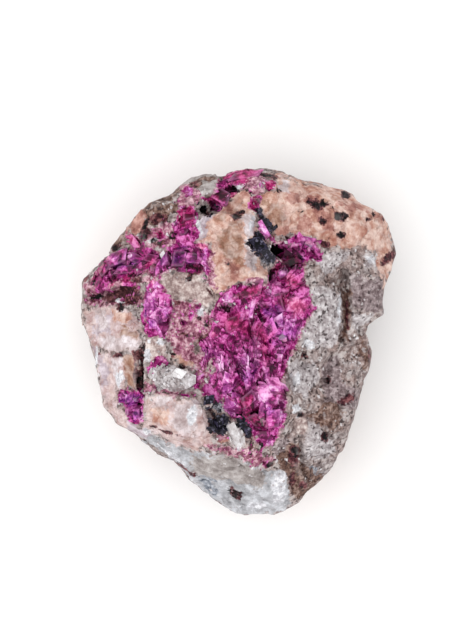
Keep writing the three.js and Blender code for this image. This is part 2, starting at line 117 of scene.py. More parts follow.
# The host rock: the whole stone's rough grey skin, with peach calcite and pink grains
# in it. It is one broken piece, and every crystal below is grown fast to it.
SKIN_STEP = 0.43 * MM  # spacing of the skin's points
OUTLINES = {  # where each look shows on the crystal face, in mm from the middle
    "magenta": [
        [(-3.4, 10.4), (-1.6, 12.6), (2.6, 13), (5.6, 12.6), (6.6, 15.4), (8.2, 17.8), (10.4, 18.2),
         (13.6, 17.8), (14, 14.4), (14.4, 11.2), (15.6, 9.4), (15.9, 6.8), (14.6, 4), (12.8, 2.6),
         (12.6, 0.4), (11.6, -1.6), (10.6, -4.2), (9, -6.4), (8.6, -9), (10.2, -10.6), (10.4, -14),
         (9.4, -17.2), (8.4, -19.6), (7.2, -22.6), (5, -23), (3.4, -20), (1, -17), (-1.4, -16.4),
         (-3, -14.6), (-3.6, -12.4), (-5.6, -12), (-8, -12), (-8.4, -10), (-6.4, -8.4),
         (-5.2, -6.4), (-5.6, -3.6), (-7.8, -2), (-9.4, -0.8), (-7.8, 0.4), (-5.6, 1.6),
         (-6.4, 6.4), (-4.6, 8.4)],
        [(7.4, 21.4), (9.8, 22), (11.4, 23.3), (13.6, 23.3), (15.6, 22.4), (18, 20), (17.6, 18),
         (13.6, 17.6), (8, 17.8)],
        [(-33.2, 13.8), (-31.2, 15.8), (-28.9, 19.4), (-26.4, 19.6), (-24.6, 20.4), (-20, 20.6),
         (-17, 19.4), (-13.4, 21.6), (-14.6, 25.4), (-12.8, 29.4), (-10, 30), (-9, 27.8),
         (-9.9, 21.4), (-8, 21.6), (-6.8, 20), (-6.8, 15), (-12.6, 16), (-15.2, 16), (-18.4, 14.4),
         (-20.8, 16), (-22, 14.4), (-27.4, 13.2), (-29.4, 10.8), (-32.2, 10.8), (-31, 12.6)],
        [(-11.9, 31.6), (-11.7, 33.6), (-10.4, 34), (-9.9, 31.8)],
        [(-20.7, 11.4), (-19.6, 13.8), (-17, 13.8), (-16.8, 11.4), (-14.8, 9.2), (-14, 7.8),
         (-14.4, 4.8), (-15.8, 2.6), (-16.4, 1.4), (-17.8, 1.6), (-19.6, 1.6), (-20.8, 4), (-21, 7)],
        [(-26.8, -11.4), (-25.4, -10.6), (-20.9, -10.8), (-21, -17), (-22.4, -17.7), (-24, -16.2),
         (-25.4, -14.8), (-26.2, -13)],
        [(-4.2, 35.6), (-2.6, 37.2), (-0.8, 38), (2.8, 38), (3.4, 37), (2.6, 36.2), (0.2, 35),
         (-0.6, 33), (-1.4, 32), (-3.6, 30.4), (-4.6, 29), (-7.4, 30.2), (-8.6, 31.6), (-5.4, 32.2),
         (-4.8, 33.6)],
        [(5.4, 35.6), (8, 35.4), (7.6, 33.2), (5.6, 33.2)],
        [(2.2, 31.8), (4.4, 31.4), (4, 28.4), (2.4, 29.4)],
        [(-19.8, -6), (-18.4, -3.4), (-16.4, -2.8), (-15.6, -4.4), (-17.2, -5.6), (-18.8, -7.4)],
    ],
    # The wine outlines paint shade in a deep wine pink: the hollow under the top edge and the pocket
    # beside the black crystals.
    "wine_and_shade": [
        [(-4.2, 34.4), (-0.6, 34.1), (-0.5, 32.7), (-4.9, 32.5)],
        [(7.4, 21.6), (9.6, 21.8), (11, 20.4), (13.6, 19.4), (13.6, 17), (11, 17), (7.4, 18.4)],
    ],
    "blades": [
        [(-9, 0.5), (-5, 0.4), (2, 0.8), (6, 1.5), (11, -1), (10, -5), (8, -8.8), (2, -9), (-4, -8),
         (-9.6, -7)],
    ],
    "blush": [
        [(-14.6, 9.4), (-9.6, 8.6), (-6.4, 6), (-6.2, 1.6), (-10, -0.4), (-9.4, -4), (-14.4, -2.6),
         (-15.6, 2)],
        [(-20.6, -8), (-14, -9.8), (-9.4, -10.4), (-9.6, -12), (-18, -10.8), (-20.6, -12)],
        [(-7.6, -22.6), (-1.2, -22.8), (2.6, -22.4), (5, -24.4), (7.8, -25.2), (6.4, -27.6),
         (-1.2, -24.6)],
        [(-7.9, 22), (-6, 21.4), (-5.4, 12.4), (-7.2, 12.6), (-6.8, 17)],
        [(-20.6, 22.4), (-20, 24.8), (-14.8, 26.6), (-9.8, 25.2), (-9.9, 21.6), (-14, 20.6),
         (-20, 20.6)],
        [(-14, 31.2), (-13, 34.6), (-9.6, 34.8), (-8.4, 31.4), (-9.4, 29), (-13, 29.6)],
        [(-34.2, 13.8), (-31.4, 15.6), (-30, 13.6), (-26, 13.8), (-21, 14.6), (-21.2, 8.4),
         (-28, 8), (-33.6, 8.4)],
        [(0, 35), (3, 37.4), (5.4, 37), (5.6, 33), (3.2, 32.2), (0.4, 33.6)],
        [(-3.6, -11.8), (-0.8, -9), (-0.6, -14.6), (-3, -15.6)],
        [(-9.8, -2.4), (-7.4, -2.6), (-7.2, -6.6), (-5, -6.6), (-6, -9.6), (-9.4, -9.6),
         (-10.2, -6)],
    ],
    "peach": [
        [(-9.8, 21.4), (-9.2, 25), (-8.4, 27.6), (-5.6, 28), (-4.2, 29.2), (-2, 31), (-0.6, 33.2),
         (1.6, 33.4), (2.6, 32.4), (2.2, 30), (3.2, 28.4), (4, 27.4), (3.9, 25.6), (4.6, 23.6),
         (3, 21), (4.8, 17), (6.4, 15.6), (6.6, 14), (3.6, 13.4), (0, 13), (-2.6, 11.8),
         (-5.4, 10.6), (-6.8, 13.4), (-6.2, 19), (-6.4, 21.2)],
        [(3.6, 32.4), (8, 33.2), (8.2, 37.6), (12, 36.4), (13, 35.6), (23.6, 34.2), (27.2, 30.8),
         (33, 27.6), (34, 21), (35, 19.8), (34, 17), (31.8, 12), (30.6, 16.4), (29.8, 19.8),
         (27.6, 20.6), (22.4, 20.8), (17.6, 20.8), (16, 22.8), (12.6, 23.6), (9.4, 24), (6.8, 25.4),
         (5.4, 27.4), (4, 29.4)],
        [(-14.6, 0.6), (-10.4, -1.6), (-9.2, -5), (-12.2, -5.4), (-14.6, -3)],
        [(-19.4, -14.2), (-15.4, -14.6), (-15.4, -17.2), (-19, -17.8)],
        [(-27.4, 6.8), (-23.6, 6.4), (-24, 4.6), (-27.2, 4.8)],
    ],
    "salmon": [
        [(-24.8, 24.4), (-23.2, 27.6), (-21.2, 29.8), (-20, 28.6), (-20.2, 26.4), (-21.6, 24.2),
         (-23.6, 23.2)],
        [(-5.4, 25.2), (-4.8, 27.8), (-2.8, 29.4), (-1.8, 30.6), (-2.2, 28.4), (-3.8, 26)],
        [(21, 30.2), (25, 30.4), (28, 29.2), (32.6, 27.6), (32, 26.8), (28, 28), (24, 28.8)],
        [(14.6, 31), (16.6, 28), (17.6, 25.2), (20.6, 24.2), (20.4, 26.6), (18.6, 29), (17.4, 31.6),
         (16.4, 31.8)],
        [(-1.6, 14.8), (0.6, 14.6), (3, 14.2), (3.2, 13.4), (-1, 13)],
        [(-3.8, 19.6), (-1.8, 18.6), (0.2, 16), (-0.6, 15.4), (-2.8, 17.6)],
        [(6.8, 25.4), (11, 24.6), (10, 22.6), (7.6, 22.4)],
    ],
    "pale_peach": [
        [(-20.6, -13), (-18, -10.6), (-15, -11), (-13.6, -12.2), (-9.6, -12), (-8, -14.2),
         (-7, -16.8), (-6, -19.4), (-5.6, -22), (-9, -23.4), (-14, -22), (-18.6, -19.4),
         (-20.8, -18.2)],
        [(-34.2, 7), (-28.4, 8.4), (-24.6, 7.6), (-21.4, 4), (-21.3, -1.8), (-26.8, -2),
         (-31.6, -0.8), (-33.6, 3)],
        [(-32, -1.6), (-27.2, -2.4), (-24.4, -2.8), (-24.2, -9.6), (-26.6, -10.2), (-26.6, -13.4),
         (-21.6, -18.2), (-23.6, -20), (-28.8, -15.8), (-30.4, -10)],
    ],
    # The fourth tan outline also paints shade: it darkens the ledge at the left towards the slit
    # beside it, with the second brown outline.
    "tan": [
        [(-3.8, 24.4), (-1.4, 26.6), (0.9, 26), (0.7, 22), (0.9, 18.8), (1.6, 15.4), (-1, 17.4),
         (-3.6, 19.2), (-4.6, 21.6)],
        [(5, 31), (8.6, 30.6), (10.4, 26.4), (7.8, 25.6), (5.8, 27.4)],
        [(-26.4, 2.8), (-21.8, 2.8), (-21.8, 1), (-26, 1.4)],
        [(-25.4, -2.6), (-22, -2.6), (-22, -10), (-24.8, -9.8)],
        [(-19.2, 9.6), (-17.4, 10.6), (-15.8, 9.4), (-18, 7.8)],
    ],
    "lavender": [
        [(-9.8, 21.6), (-9.2, 25), (-8.4, 27.6), (-5.6, 27.9), (-6.9, 25.8), (-8.2, 22)],
        [(-31.8, 6.2), (-28, 6.2), (-27.6, 2), (-31.4, 1.6)],
        [(-32, -1.6), (-29.8, -2.2), (-28.8, -9), (-30, -9.4)],
        [(-24.8, -15.6), (-21.6, -18.2), (-19, -19.6), (-20.4, -21), (-24, -19.6)],
    ],
    "cream": [
        [(-17.4, 14), (-13.7, 15.2), (-9.2, 14.6), (-7, 13), (-4.6, 9.6), (-7.1, 8.1), (-9.2, 9.1),
         (-14.6, 9.6), (-17, 11.6)],
        [(-20.8, 0.8), (-17.8, 1), (-15.6, -2.8), (-18.1, -4.4), (-20.6, -3)],
        [(0.4, -20), (2, -20.4), (1.8, -23.6), (0.6, -22.6)],
        [(-7.4, -3.4), (-5.2, -3.2), (-4.8, -6.2), (-7.2, -6.6)],
        [(12.2, -16.6), (14.4, -16.4), (14.8, -18.6), (13.6, -20), (12, -19.2)],
    ],
    "ivory": [
        [(0.8, 27.6), (2.8, 28.2), (3.8, 27), (3.4, 24), (2.4, 21.4), (3.6, 18), (3.4, 15.8),
         (2.2, 15.4), (1.4, 17.2), (1.2, 23.6)],
        [(-14, -12.8), (-9, -12.6), (-8.2, -15), (-9.4, -19), (-13.8, -19.6), (-14.4, -16.6)],
        [(-17.8, -11.2), (-15, -11.6), (-15.4, -13.8), (-17.4, -13.4)],
        [(-30.6, 1.6), (-24, 1), (-21.6, 0.6), (-21.4, -1.6), (-26.6, -1.8), (-30.6, -0.8)],
        [(-27.8, -3.4), (-26, -3.2), (-25.8, -9.6), (-27.4, -9.4)],
        [(-31.6, 6.8), (-29.2, 7.2), (-28.4, 3.4), (-30.8, 2.6)],
        [(9.2, 36.8), (11.6, 35.8), (10.8, 33), (9, 33.4)],
    ],
    "pale_grey": [
        [(15, 12.6), (19.6, 12.2), (21.6, 10), (22.4, 6.4), (22, 2), (20, -1.4), (15, -1),
         (12.6, 0), (14.6, 4.4), (15.8, 8)],
        [(27.4, 19.4), (30.4, 19.2), (30.2, 16.8), (28, 16.4)],
        [(15, -17), (17.6, -17.4), (18.6, -20.6), (20.4, -21.4), (20.6, -24), (17.6, -26.2),
         (14.2, -24.8), (13.2, -22.6), (15.2, -20.6)],
        [(10.4, -4.2), (16.8, -4), (17.4, -9), (15, -12), (11, -10.6)],
        [(-8, 35.8), (-4.6, 36), (-4.6, 34), (-7.6, 33.2)],
        [(24.4, 7), (29.4, 6), (27.4, 3.2), (24.4, 3)],
        [(16.6, 17.4), (19, 19.6), (24, 20), (22, 16.4), (18.4, 14.6)],
    ],
    "blue_grey": [
        [(-23.6, -19.6), (-18.4, -20.4), (-12, -22.8), (-4, -24.4), (2, -25.8), (6, -27.8),
         (9.8, -28.2), (10.8, -31), (11.4, -35.6), (8, -37.8), (-1, -38.6), (-8, -33.6),
         (-14.6, -26)],
    ],
    "beige_grey": [
        [(-10, -24.4), (-1, -24.8), (5.6, -29), (5.2, -32), (1, -31.4), (-3, -30.2), (-9, -29.4),
         (-10.6, -27)],
        [(-13.8, 34), (-11.6, 36), (-9.8, 37), (-4.4, 37.4), (-4.4, 34.4), (-5.2, 32.6),
         (-8.2, 31.6), (-9.2, 33.4), (-10.4, 35)],
        [(-34.4, 6.6), (-32.2, 5.4), (-31.6, 0), (-33, -0.8)],
    ],
    "mauve_grey": [
        [(24.6, 15), (31.6, 13.6), (31.2, 6.6), (28.6, 7), (24.8, 8)],
        [(8.6, -5), (10.6, -4.2), (11, -8.2), (8.6, -8.4)],
        [(17.6, -4.6), (21.6, -3), (22.6, -9), (26.8, -10.6), (25.8, -14.6), (19, -12.6)],
        [(9.6, -20.4), (12, -20.8), (10.4, -27), (7.6, -26.2), (7, -22.4)],
    ],
    # Both brown outlines also paint shade: the first in the recess between the magenta band and the
    # peach ledge at the left, the second along the slit by that ledge.
    "brown": [
        [(-31, 9.8), (-28.4, 10.4), (-26, 10.8), (-23.4, 13), (-21.4, 13), (-21, 9.4), (-23.4, 8.2),
         (-26.4, 8.6), (-29.6, 8.6)],
        [(-22.8, -2.2), (-21.2, -2), (-20.8, -10.8), (-22.4, -10.4)],
    ],
    "rusty": [
        [(-20.6, 29), (-18.8, 30), (-16, 29.8), (-14.6, 28.4), (-15.6, 26.4), (-18, 25.2),
         (-20.4, 25), (-20, 27)],
        [(10.6, -20.8), (13.8, -21.4), (13, -26.2), (16, -28), (18.8, -29.8), (12.8, -35.4),
         (10.9, -31.2), (9.8, -28), (7.8, -25.4), (10, -23)],
        [(26.4, 1.6), (29, -2), (29, -5.4), (27.4, -5.6), (26.8, -2)],
        [(15.4, -14.4), (18.4, -14.4), (19.2, -20.2), (17.8, -18.4), (15.2, -16.4)],
        [(-21, 31), (-13.2, 34), (-12.6, 31.4), (-16, 30.4), (-20.4, 29.4)],
        [(-28.4, 23), (-25, 24.6), (-25.4, 22), (-27, 20.6)],
        [(18.6, -13.8), (21, -13.2), (23.2, -15), (22.4, -18.4), (20, -19.6), (18.8, -17)],
        [(22.2, 10.6), (23.4, 11.6), (24.2, 9), (24.6, 6), (24, 0.4), (21.9, 0.6), (22.4, 6.4)],
    ],
    "dusky": [
        [(14.8, -27.2), (16.2, -27.2), (18.8, -29.8), (17.6, -31), (15, -29.8)],
        [(-9, -29.8), (-5.6, -30), (-4, -32.8), (-5.4, -33.6), (-7.8, -32)],
    ],
    "slate": [
        [(-6, -12.8), (-3.4, -12.8), (-3.2, -15.2), (-5, -15.2)],
        [(4.2, 19.4), (5.4, 21.8), (6.6, 21.4), (8.4, 17.6), (6.4, 16.4), (4.8, 17.4)],
    ],
    "quartz": [
        [(-18.8, -6.4), (-13.4, -5.2), (-9.8, -8.6), (-12, -10.2), (-17.6, -10)],
        [(-2.8, -17.8), (-1.6, -17.4), (-0.2, -19), (0.9, -22.2), (-0.2, -23), (-1.8, -20.6)],
    ],
    "dark": [
        [(2, 21.4), (3.8, 23.7), (5.3, 21.8), (5.8, 19.4), (4.4, 19.2)],
        [(4, 28.4), (5, 28.2), (7.4, 25), (6.6, 24.6), (4, 26)],
        [(-8, -13.4), (-6.4, -11.7), (-5.7, -12.6), (-6.6, -13.8)],
        [(-6.7, -18.2), (-5.8, -15.4), (-4.6, -15.2), (-2.6, -16.8), (-3, -19), (-5, -19.6)],
        [(-2.4, -17), (-1, -16.7), (1, -17.2), (2.5, -19), (1.9, -20.1), (0.4, -18.8),
         (-0.4, -17.6)],
        [(-8.6, 30), (-7.6, 30.2), (-7.2, 29), (-5.6, 29.2), (-4.6, 28.8), (-5.6, 28.2),
         (-7.8, 28.2)],
    ],
}
SPOTS = {  # small patches: middle, half width, half height, turn in degrees
    # Several dark spots paint shade: they blacken the bottoms of pits listed below, such as the slit
    # by the left ledge. The rest are black grains.
    "dark": [
        (17.6, 30.2, 1.7, 0.8, 8), (15.8, 30.6, 0.8, 0.4, 0), (17.4, 29.3, 0.4, 0.6, 0),
        (23.3, 32.5, 0.9, 0.8, 30), (22.2, 27.3, 1.2, 0.8, 24), (28, 26.9, 0.6, 0.35, 0),
        (22.2, 23.4, 1, 0.5, 0), (18.2, 26.6, 0.5, 0.8, 30), (13.4, 28.7, 0.4, 0.3, 20),
        (29.4, 28.2, 0.5, 0.3, 0), (31.6, 27.2, 0.3, 0.3, 0), (19.4, 22.7, 0.3, 0.3, 0),
        (20.4, 29.3, 0.4, 0.3, 0), (6.3, 36.7, 1.6, 0.5, -10), (8.8, 33.3, 0.6, 0.4, -30),
        (-2.6, 33.3, 1.8, 0.5, -4), (1.3, 33.2, 0.9, 0.2, -24), (-0.8, 27.5, 0.8, 0.5, 10),
        (0.6, 28.3, 0.6, 0.4, 30), (-2.4, 17.2, 0.4, 0.3, 0), (-26.4, 20.3, 1.1, 0.8, -10),
        (-15.2, 18.4, 0.35, 1.9, 0), (-18.5, 22.2, 0.7, 0.5, 0), (-17.5, 21.5, 0.5, 0.4, 0),
        (-14.4, 23.2, 0.8, 0.7, 0), (8.7, 20.3, 1.3, 1, -30), (11.6, 19.3, 2, 0.7, -16),
        (-31.9, 13.2, 0.5, 0.5, 0), (-31.4, 9.7, 1, 0.4, 10), (-25.8, 7.6, 0.6, 0.8, 0),
        (-11, 13.9, 0.5, 0.5, 0), (-8.9, 5.2, 0.5, 0.35, 0), (-12.3, -5.2, 0.6, 0.4, 0),
        (-14.3, -2.6, 0.8, 0.3, -20), (-20.9, -1.4, 0.3, 1, 0), (6.7, -26.5, 0.7, 0.6, 0),
        (2.5, -22.8, 0.3, 1.4, 0), (4.8, -22.4, 0.6, 0.4, -40), (-22.3, -13.5, 1, 0.35, -4),
        (14.2, -3, 0.7, 0.35, -30), (-0.8, -33.3, 1.4, 0.9, -32), (13.2, -15.6, 0.6, 0.3, 0),
        (19.6, -8.2, 0.3, 0.8, 0), (18.8, -20.6, 0.5, 1.2, 20), (12.2, -23.6, 0.6, 1.8, 0),
        (-20.6, 23, 1, 0.8, 0), (-16.9, 10.7, 0.8, 0.2, -20), (7.1, 14, 0.3, 1.8, 4),
        (-20.3, 25.8, 0.4, 1.2, -20), (-7.2, 4, 0.5, 0.6, 0), (-21.4, -6.8, 0.5, 4.2, 0),
    ],
    "brown": [
        (6.8, 36.4, 1.8, 0.8, -8), (-26.2, 20.6, 1.6, 1.2, 0), (-10, 15.8, 1.6, 1, 0),
        (-7.4, 0.6, 2, 1.2, 10), (-11, 1.6, 1.4, 0.3, -10), (23.6, 5.4, 0.4, 3.2, 2),
        (12, -24.8, 1.2, 2.4, 0), (-22.6, 13.4, 1.5, 1, 0), (-17.6, 26.8, 1.6, 1.3, 0),
        (-9.6, 34.8, 0.9, 0.7, 0), (-20, 24.2, 1.2, 1, 0), (-27.8, 13.8, 1.5, 0.6, 0),
        (-17.2, 21.6, 1.1, 0.8, 0), (-15.8, -19.2, 2.8, 0.3, -22), (-12, -27.6, 2.6, 0.5, -34),
        (11.6, -30, 0.8, 1.6, 0), (14, -31.2, 1, 0.8, 0), (23.6, -12.4, 2, 1, 20),
        (-24.2, 11.4, 2, 1.4, 0), (18.6, 21.2, 1.2, 0.9, 0), (33.4, 19, 2.2, 0.9, 50),
        (-18.6, -18.2, 1, 0.4, 0), (-13.6, 8.6, 0.6, 0.4, 0), (9.4, -6.2, 1, 0.9, 30),
        (-33.8, 14, 0.8, 0.5, 40), (28.6, -3, 0.4, 1.6, 0), (-26.4, -2.6, 1.4, 0.6, 0),
        (-30.8, -2.4, 0.8, 0.5, 0), (-6.2, 10.8, 0.3, 1.4, 40), (-28.2, 12, 1.4, 0.5, 10),
        (-32, 9.4, 0.9, 0.4, 0), (-25, 13.4, 1, 0.4, 0), (-33, 11.4, 0.4, 0.8, 0),
    ],
    # Some white spots paint glints and bright edges as pale grains; the rest are white quartz and
    # calcite.
    "white": [
        (-14.2, -6.6, 1.6, 0.9, -20), (-11.6, -8.4, 1.6, 1.2, -30), (-17.4, -7.4, 0.9, 1.2, 0),
        (-16.5, 18.9, 0.8, 0.8, 0), (-5.2, 4.2, 0.7, 0.6, 30), (-20, -19.3, 0.8, 0.4, -30),
        (15.4, -0.4, 1.4, 1.2, 0), (21.9, 7, 0.35, 3.2, -4), (-18.6, 22.4, 0.9, 0.5, 20),
        (-10.2, -15.8, 1, 2, -10), (3, 26, 0.6, 1.6, -10), (-31.6, -4.2, 0.4, 3, -10),
        (28.8, 18.2, 1, 0.9, 0), (-8.4, 6.6, 0.7, 0.9, 0), (12.4, -14.4, 0.9, 1.2, 0),
        (-19.8, -2.6, 0.8, 1.5, 0), (-17.2, 0.1, 0.9, 0.7, 0), (12.2, -7.6, 0.8, 1.4, 0),
        (-26.2, 9, 0.6, 0.5, 0), (11, -3.8, 0.5, 0.5, 0), (0.2, 34, 1, 0.45, 20),
        (-9, 26, 0.4, 1.8, 16), (8.6, -32.6, 1.5, 3.2, 6), (9, -29.4, 1.4, 1.2, 0),
        (3.6, -36, 3, 0.7, 6), (-15, -24.6, 3, 0.4, -36), (-26, -7.8, 0.9, 1.6, 4),
        (-19.6, 0.4, 0.4, 0.4, 0), (14.2, 10.2, 0.9, 0.4, -20),
    ],
    "salmon": [
        (11.6, 32, 2, 1.4, 20), (-3.8, -21, 1.2, 0.6, 0), (14.3, 25.8, 1.6, 2, 0),
        (1, 32, 1, 0.8, 0),
    ],
    "tan": [
        (-4.2, 26.8, 1.7, 1.1, 50),
    ],
    "rusty": [
        (-9.4, 34.8, 1.4, 1, 20), (-6.6, 35.8, 1.6, 0.6, 0), (-18, 28.4, 2.2, 1.4, 10),
        (-14.8, 29.4, 1.3, 0.9, 0),
    ],
    "blush": [
        (3.6, 13.6, 2, 0.7, 0), (-4.2, -20.4, 1.2, 0.8, 0), (-20, 13.6, 1.1, 0.9, 0),
    ],
    "crimson": [
        (-29.4, 16.6, 1.1, 2.4, -30), (1.2, 3.2, 1.6, 1.8, 0), (-25.4, 18.8, 1.8, 0.9, 0),
        (-17.4, 24, 1.4, 1, 0), (-1.6, 32.2, 1.2, 0.8, 30), (9.4, 16.8, 2, 2.4, 0),
        (-23.6, 14.2, 2.2, 0.9, 4), (-20, 17.2, 2, 1, 0), (-11.8, 27.6, 2.2, 2.2, 0),
        (-5.2, 31.4, 2.6, 1.1, 20), (0.2, 36.5, 4.4, 1.6, 14), (3.2, 30.4, 0.9, 1.6, 0),
        (6.7, 34.4, 1.2, 1.2, 0), (2.6, 11, 2.8, 1.6, 10), (9.2, 8.8, 1, 1.8, -20),
        (-1.6, 4.6, 3, 2.2, 0), (4.6, 2.6, 1.4, 3, 20), (5.6, -2, 0.8, 2.4, 0),
        (1.4, -12.6, 1.9, 1.4, 20), (3.4, -16.8, 2.4, 1.5, -30), (8.6, 16.4, 1.6, 1, 20),
        (11.6, 13.2, 2, 1.4, 0), (-32, 14.2, 1.4, 1, 30),
    ],
    # The wine spots paint shade in a deep wine pink in the crust's hollows, pockets and gaps, partly
    # over the crust's own darker pink.
    "wine_and_shade": [
        (-2.8, 7.6, 2, 0.8, -15), (2.4, 12.8, 2.6, 0.3, 6), (3.9, 7, 0.6, 1.8, 10),
        (5.6, 8.2, 1, 0.5, 0), (6, 3.4, 1.3, 0.7, -30), (3.4, 0.6, 0.45, 1.6, 10),
        (-1.3, -2.2, 0.5, 1.2, 0), (1.4, -10.3, 1.9, 0.7, -8), (3, -13.5, 1, 0.5, 0),
        (3.3, -15.2, 1, 1.3, 0), (0.4, -15.3, 0.8, 0.6, 0), (4.9, -17.8, 0.4, 1.8, 0),
        (4.6, -22.2, 0.8, 0.5, -40), (7, 14.4, 0.7, 2.4, 8), (-10.4, 16.6, 1.8, 0.6, 0),
        (-9.2, 19.3, 0.8, 0.8, 0), (5.4, -26.2, 0.6, 0.4, 0), (-20.4, 23.2, 1.2, 0.9, 0),
        (-25.6, 17.8, 1.4, 0.3, -10), (2.8, -3.4, 0.4, 1.6, 0), (6.9, -4.6, 0.5, 1.8, 10),
        (5, -5.6, 0.35, 1.4, 0), (-0.6, -5, 0.4, 1.6, 6), (8, 9.8, 1.6, 0.3, -16),
        (9, 0.2, 0.8, 0.5, 0), (-29.6, 17.4, 1.4, 0.5, 50), (-27.6, 15.2, 2.2, 0.5, 10),
        (-22.2, 16.2, 1.6, 0.5, -10), (-12.4, 19.6, 1.2, 0.5, 20), (-8.6, 15.8, 0.8, 0.8, 0),
        (-13.2, 16.4, 1.8, 0.5, 0), (-30.4, 14.4, 1.2, 0.5, 30), (9.6, 18.2, 2.2, 1.5, -30),
        (9.6, 15.6, 1.2, 1.4, 0), (14.2, 13.4, 0.7, 1.4, 0), (-22.6, 14.4, 1.4, 0.7, 0),
        (-25.4, 19.2, 1.8, 0.8, 0), (-27.8, 13.6, 1.6, 0.6, 8), (12, 16.8, 1.2, 1.4, 0),
    ],
    "violet": [
        (-25, 17, 3.4, 0.7, 8), (-13.8, 18, 1.1, 1.6, 0), (-16.8, 17.1, 1.8, 0.6, 36),
        (-10.6, 17.4, 1.8, 0.6, 0), (-18.9, 4.4, 0.9, 0.9, 0), (-15.8, 6, 0.5, 1.2, 20),
        (7.4, 6.6, 2.4, 1.2, 0), (9.8, 1.6, 2.4, 1.1, 10), (8.6, 4.2, 3, 0.8, 5),
        (1.8, -6.8, 1.6, 1.2, 0), (-24, -12.6, 2.2, 1.4, 0), (-22.3, -15.2, 1.1, 1.4, 0),
        (14, 21.2, 1.6, 0.5, -20), (13, 18.2, 1.2, 0.9, 0), (-8.8, -1.8, 1.2, 0.6, 0),
        (-12.2, 20.2, 1.2, 0.7, 0), (-20.3, 7.6, 0.4, 1.8, 0), (6.6, -14.6, 1.2, 0.9, 0),
    ],
    # The lilac spots paint highlights in a pale lilac on lit blades, facets and edges of the crust,
    # partly over the crust's own paler pink.
    "lilac_and_highlight": [
        (-27, 18.4, 1, 0.4, 8), (-23.9, 18.8, 0.7, 0.4, 0), (-17.2, 16.8, 1.2, 0.2, 36),
        (-11.4, 18.7, 1.2, 0.3, 0), (-7.5, 17.4, 0.5, 2.6, 0), (-20.1, 9.6, 0.3, 2.6, 0),
        (-18, 12.6, 0.9, 0.9, 0), (-18.4, 6.8, 1.1, 1, 0), (-16.2, 8, 0.8, 1, 0),
        (-17.4, 2.6, 0.35, 1.9, 20), (-2.6, 9.6, 0.8, 0.7, 0), (2.5, 6.8, 0.4, 1.9, -10),
        (0.4, 6, 0.3, 1.2, 25), (6.8, 10.8, 0.9, 0.6, 0), (9.4, 6.2, 0.25, 2.2, 24),
        (13.8, 2.8, 0.8, 0.6, 30), (8, 3.8, 1.4, 0.35, 5), (0.9, -3.4, 0.5, 1.8, 5),
        (-4.2, -4.8, 0.7, 2.2, 5), (3.2, -5.6, 0.35, 1.6, 8), (3.8, -1.8, 0.35, 1.4, -5),
        (8.6, -2.8, 1, 0.4, 5), (5.7, -7.4, 0.3, 1, 0), (-2.8, -10.4, 0.8, 1.6, 0),
        (-8.6, -6.8, 0.8, 0.7, 0), (-3, -13.8, 0.8, 0.7, 0), (6.6, -9.7, 2.4, 0.4, 0),
        (5.2, -11.8, 1.4, 1.3, 0), (6.4, -21.8, 0.8, 0.7, 0), (-21.6, -16, 0.4, 1, 0),
        (-25.6, -11.6, 0.8, 0.5, 0), (14.4, 22.8, 1.4, 0.2, -18), (16.8, 20.8, 0.8, 0.2, -40),
        (9.3, 15, 0.9, 0.6, 0), (-18.6, 9.8, 1, 1.2, 0), (-11.2, 33.2, 0.5, 0.6, 0),
        (-14.2, 26.6, 0.5, 0.8, 0), (4.4, 33.8, 0.8, 1.2, 0), (5.3, 24.4, 0.6, 1.5, 35),
        (-12.4, 29.8, 0.8, 0.3, 40), (9, -2, 0.8, 1.2, 0), (-17.4, 3.4, 0.9, 1.2, 0),
        (-1.4, -14.8, 1, 0.9, 0), (8.8, -15.2, 0.8, 1.6, 0), (-1.5, -14.2, 1.2, 1.6, 0),
        (-6.6, -2.2, 1.1, 0.8, 0), (9, -12.6, 0.7, 1.1, 0), (1.1, -5.2, 0.9, 1.5, 0),
        (10.9, 4.6, 1.4, 0.4, -10), (-6.6, -7.6, 0.5, 0.9, 30),
    ],
    "rose": [
        (12, 8.3, 2.4, 1.4, -8), (-23, 22.2, 2.4, 0.9, -45), (-8, 21, 1.4, 0.7, 0),
        (10.8, 14, 1, 0.8, 0), (-5.6, 3, 0.9, 1.4, 0), (-18.6, 13, 0.8, 1, 0),
        (-27.4, 12.6, 1.6, 0.8, 10), (9.4, -10.8, 0.5, 0.8, 0), (-1.4, -13, 0.8, 0.6, 0),
    ],
    "magenta": [
        (5.2, 24.4, 0.8, 1.8, 35), (7, 22.8, 0.5, 1.5, 32), (-11.6, -11.2, 1.6, 0.5, -10),
        (4.4, -21.4, 0.8, 0.9, 0), (-9, 7.4, 0.6, 0.8, 0), (-10.4, 6, 0.5, 1, 0),
        (-12, 4.4, 0.6, 0.5, 0), (-17.4, 23.6, 1.4, 1, 0), (-1.6, 32.4, 1.2, 0.8, 30),
        (-23, 22.2, 2.2, 1, -45), (5.4, -26.2, 0.6, 0.5, 0), (14.8, 7.6, 1.6, 0.7, 0),
        (-8.6, -7.6, 1, 0.6, 30), (-7.8, -4.2, 0.5, 0.9, 0), (-9.2, -9.4, 0.9, 0.6, 0),
        (-29.6, 12.4, 1.8, 0.7, -10), (-24.4, 12.6, 1.2, 0.6, 0), (-22, 12, 0.6, 0.5, 0),
    ],
}
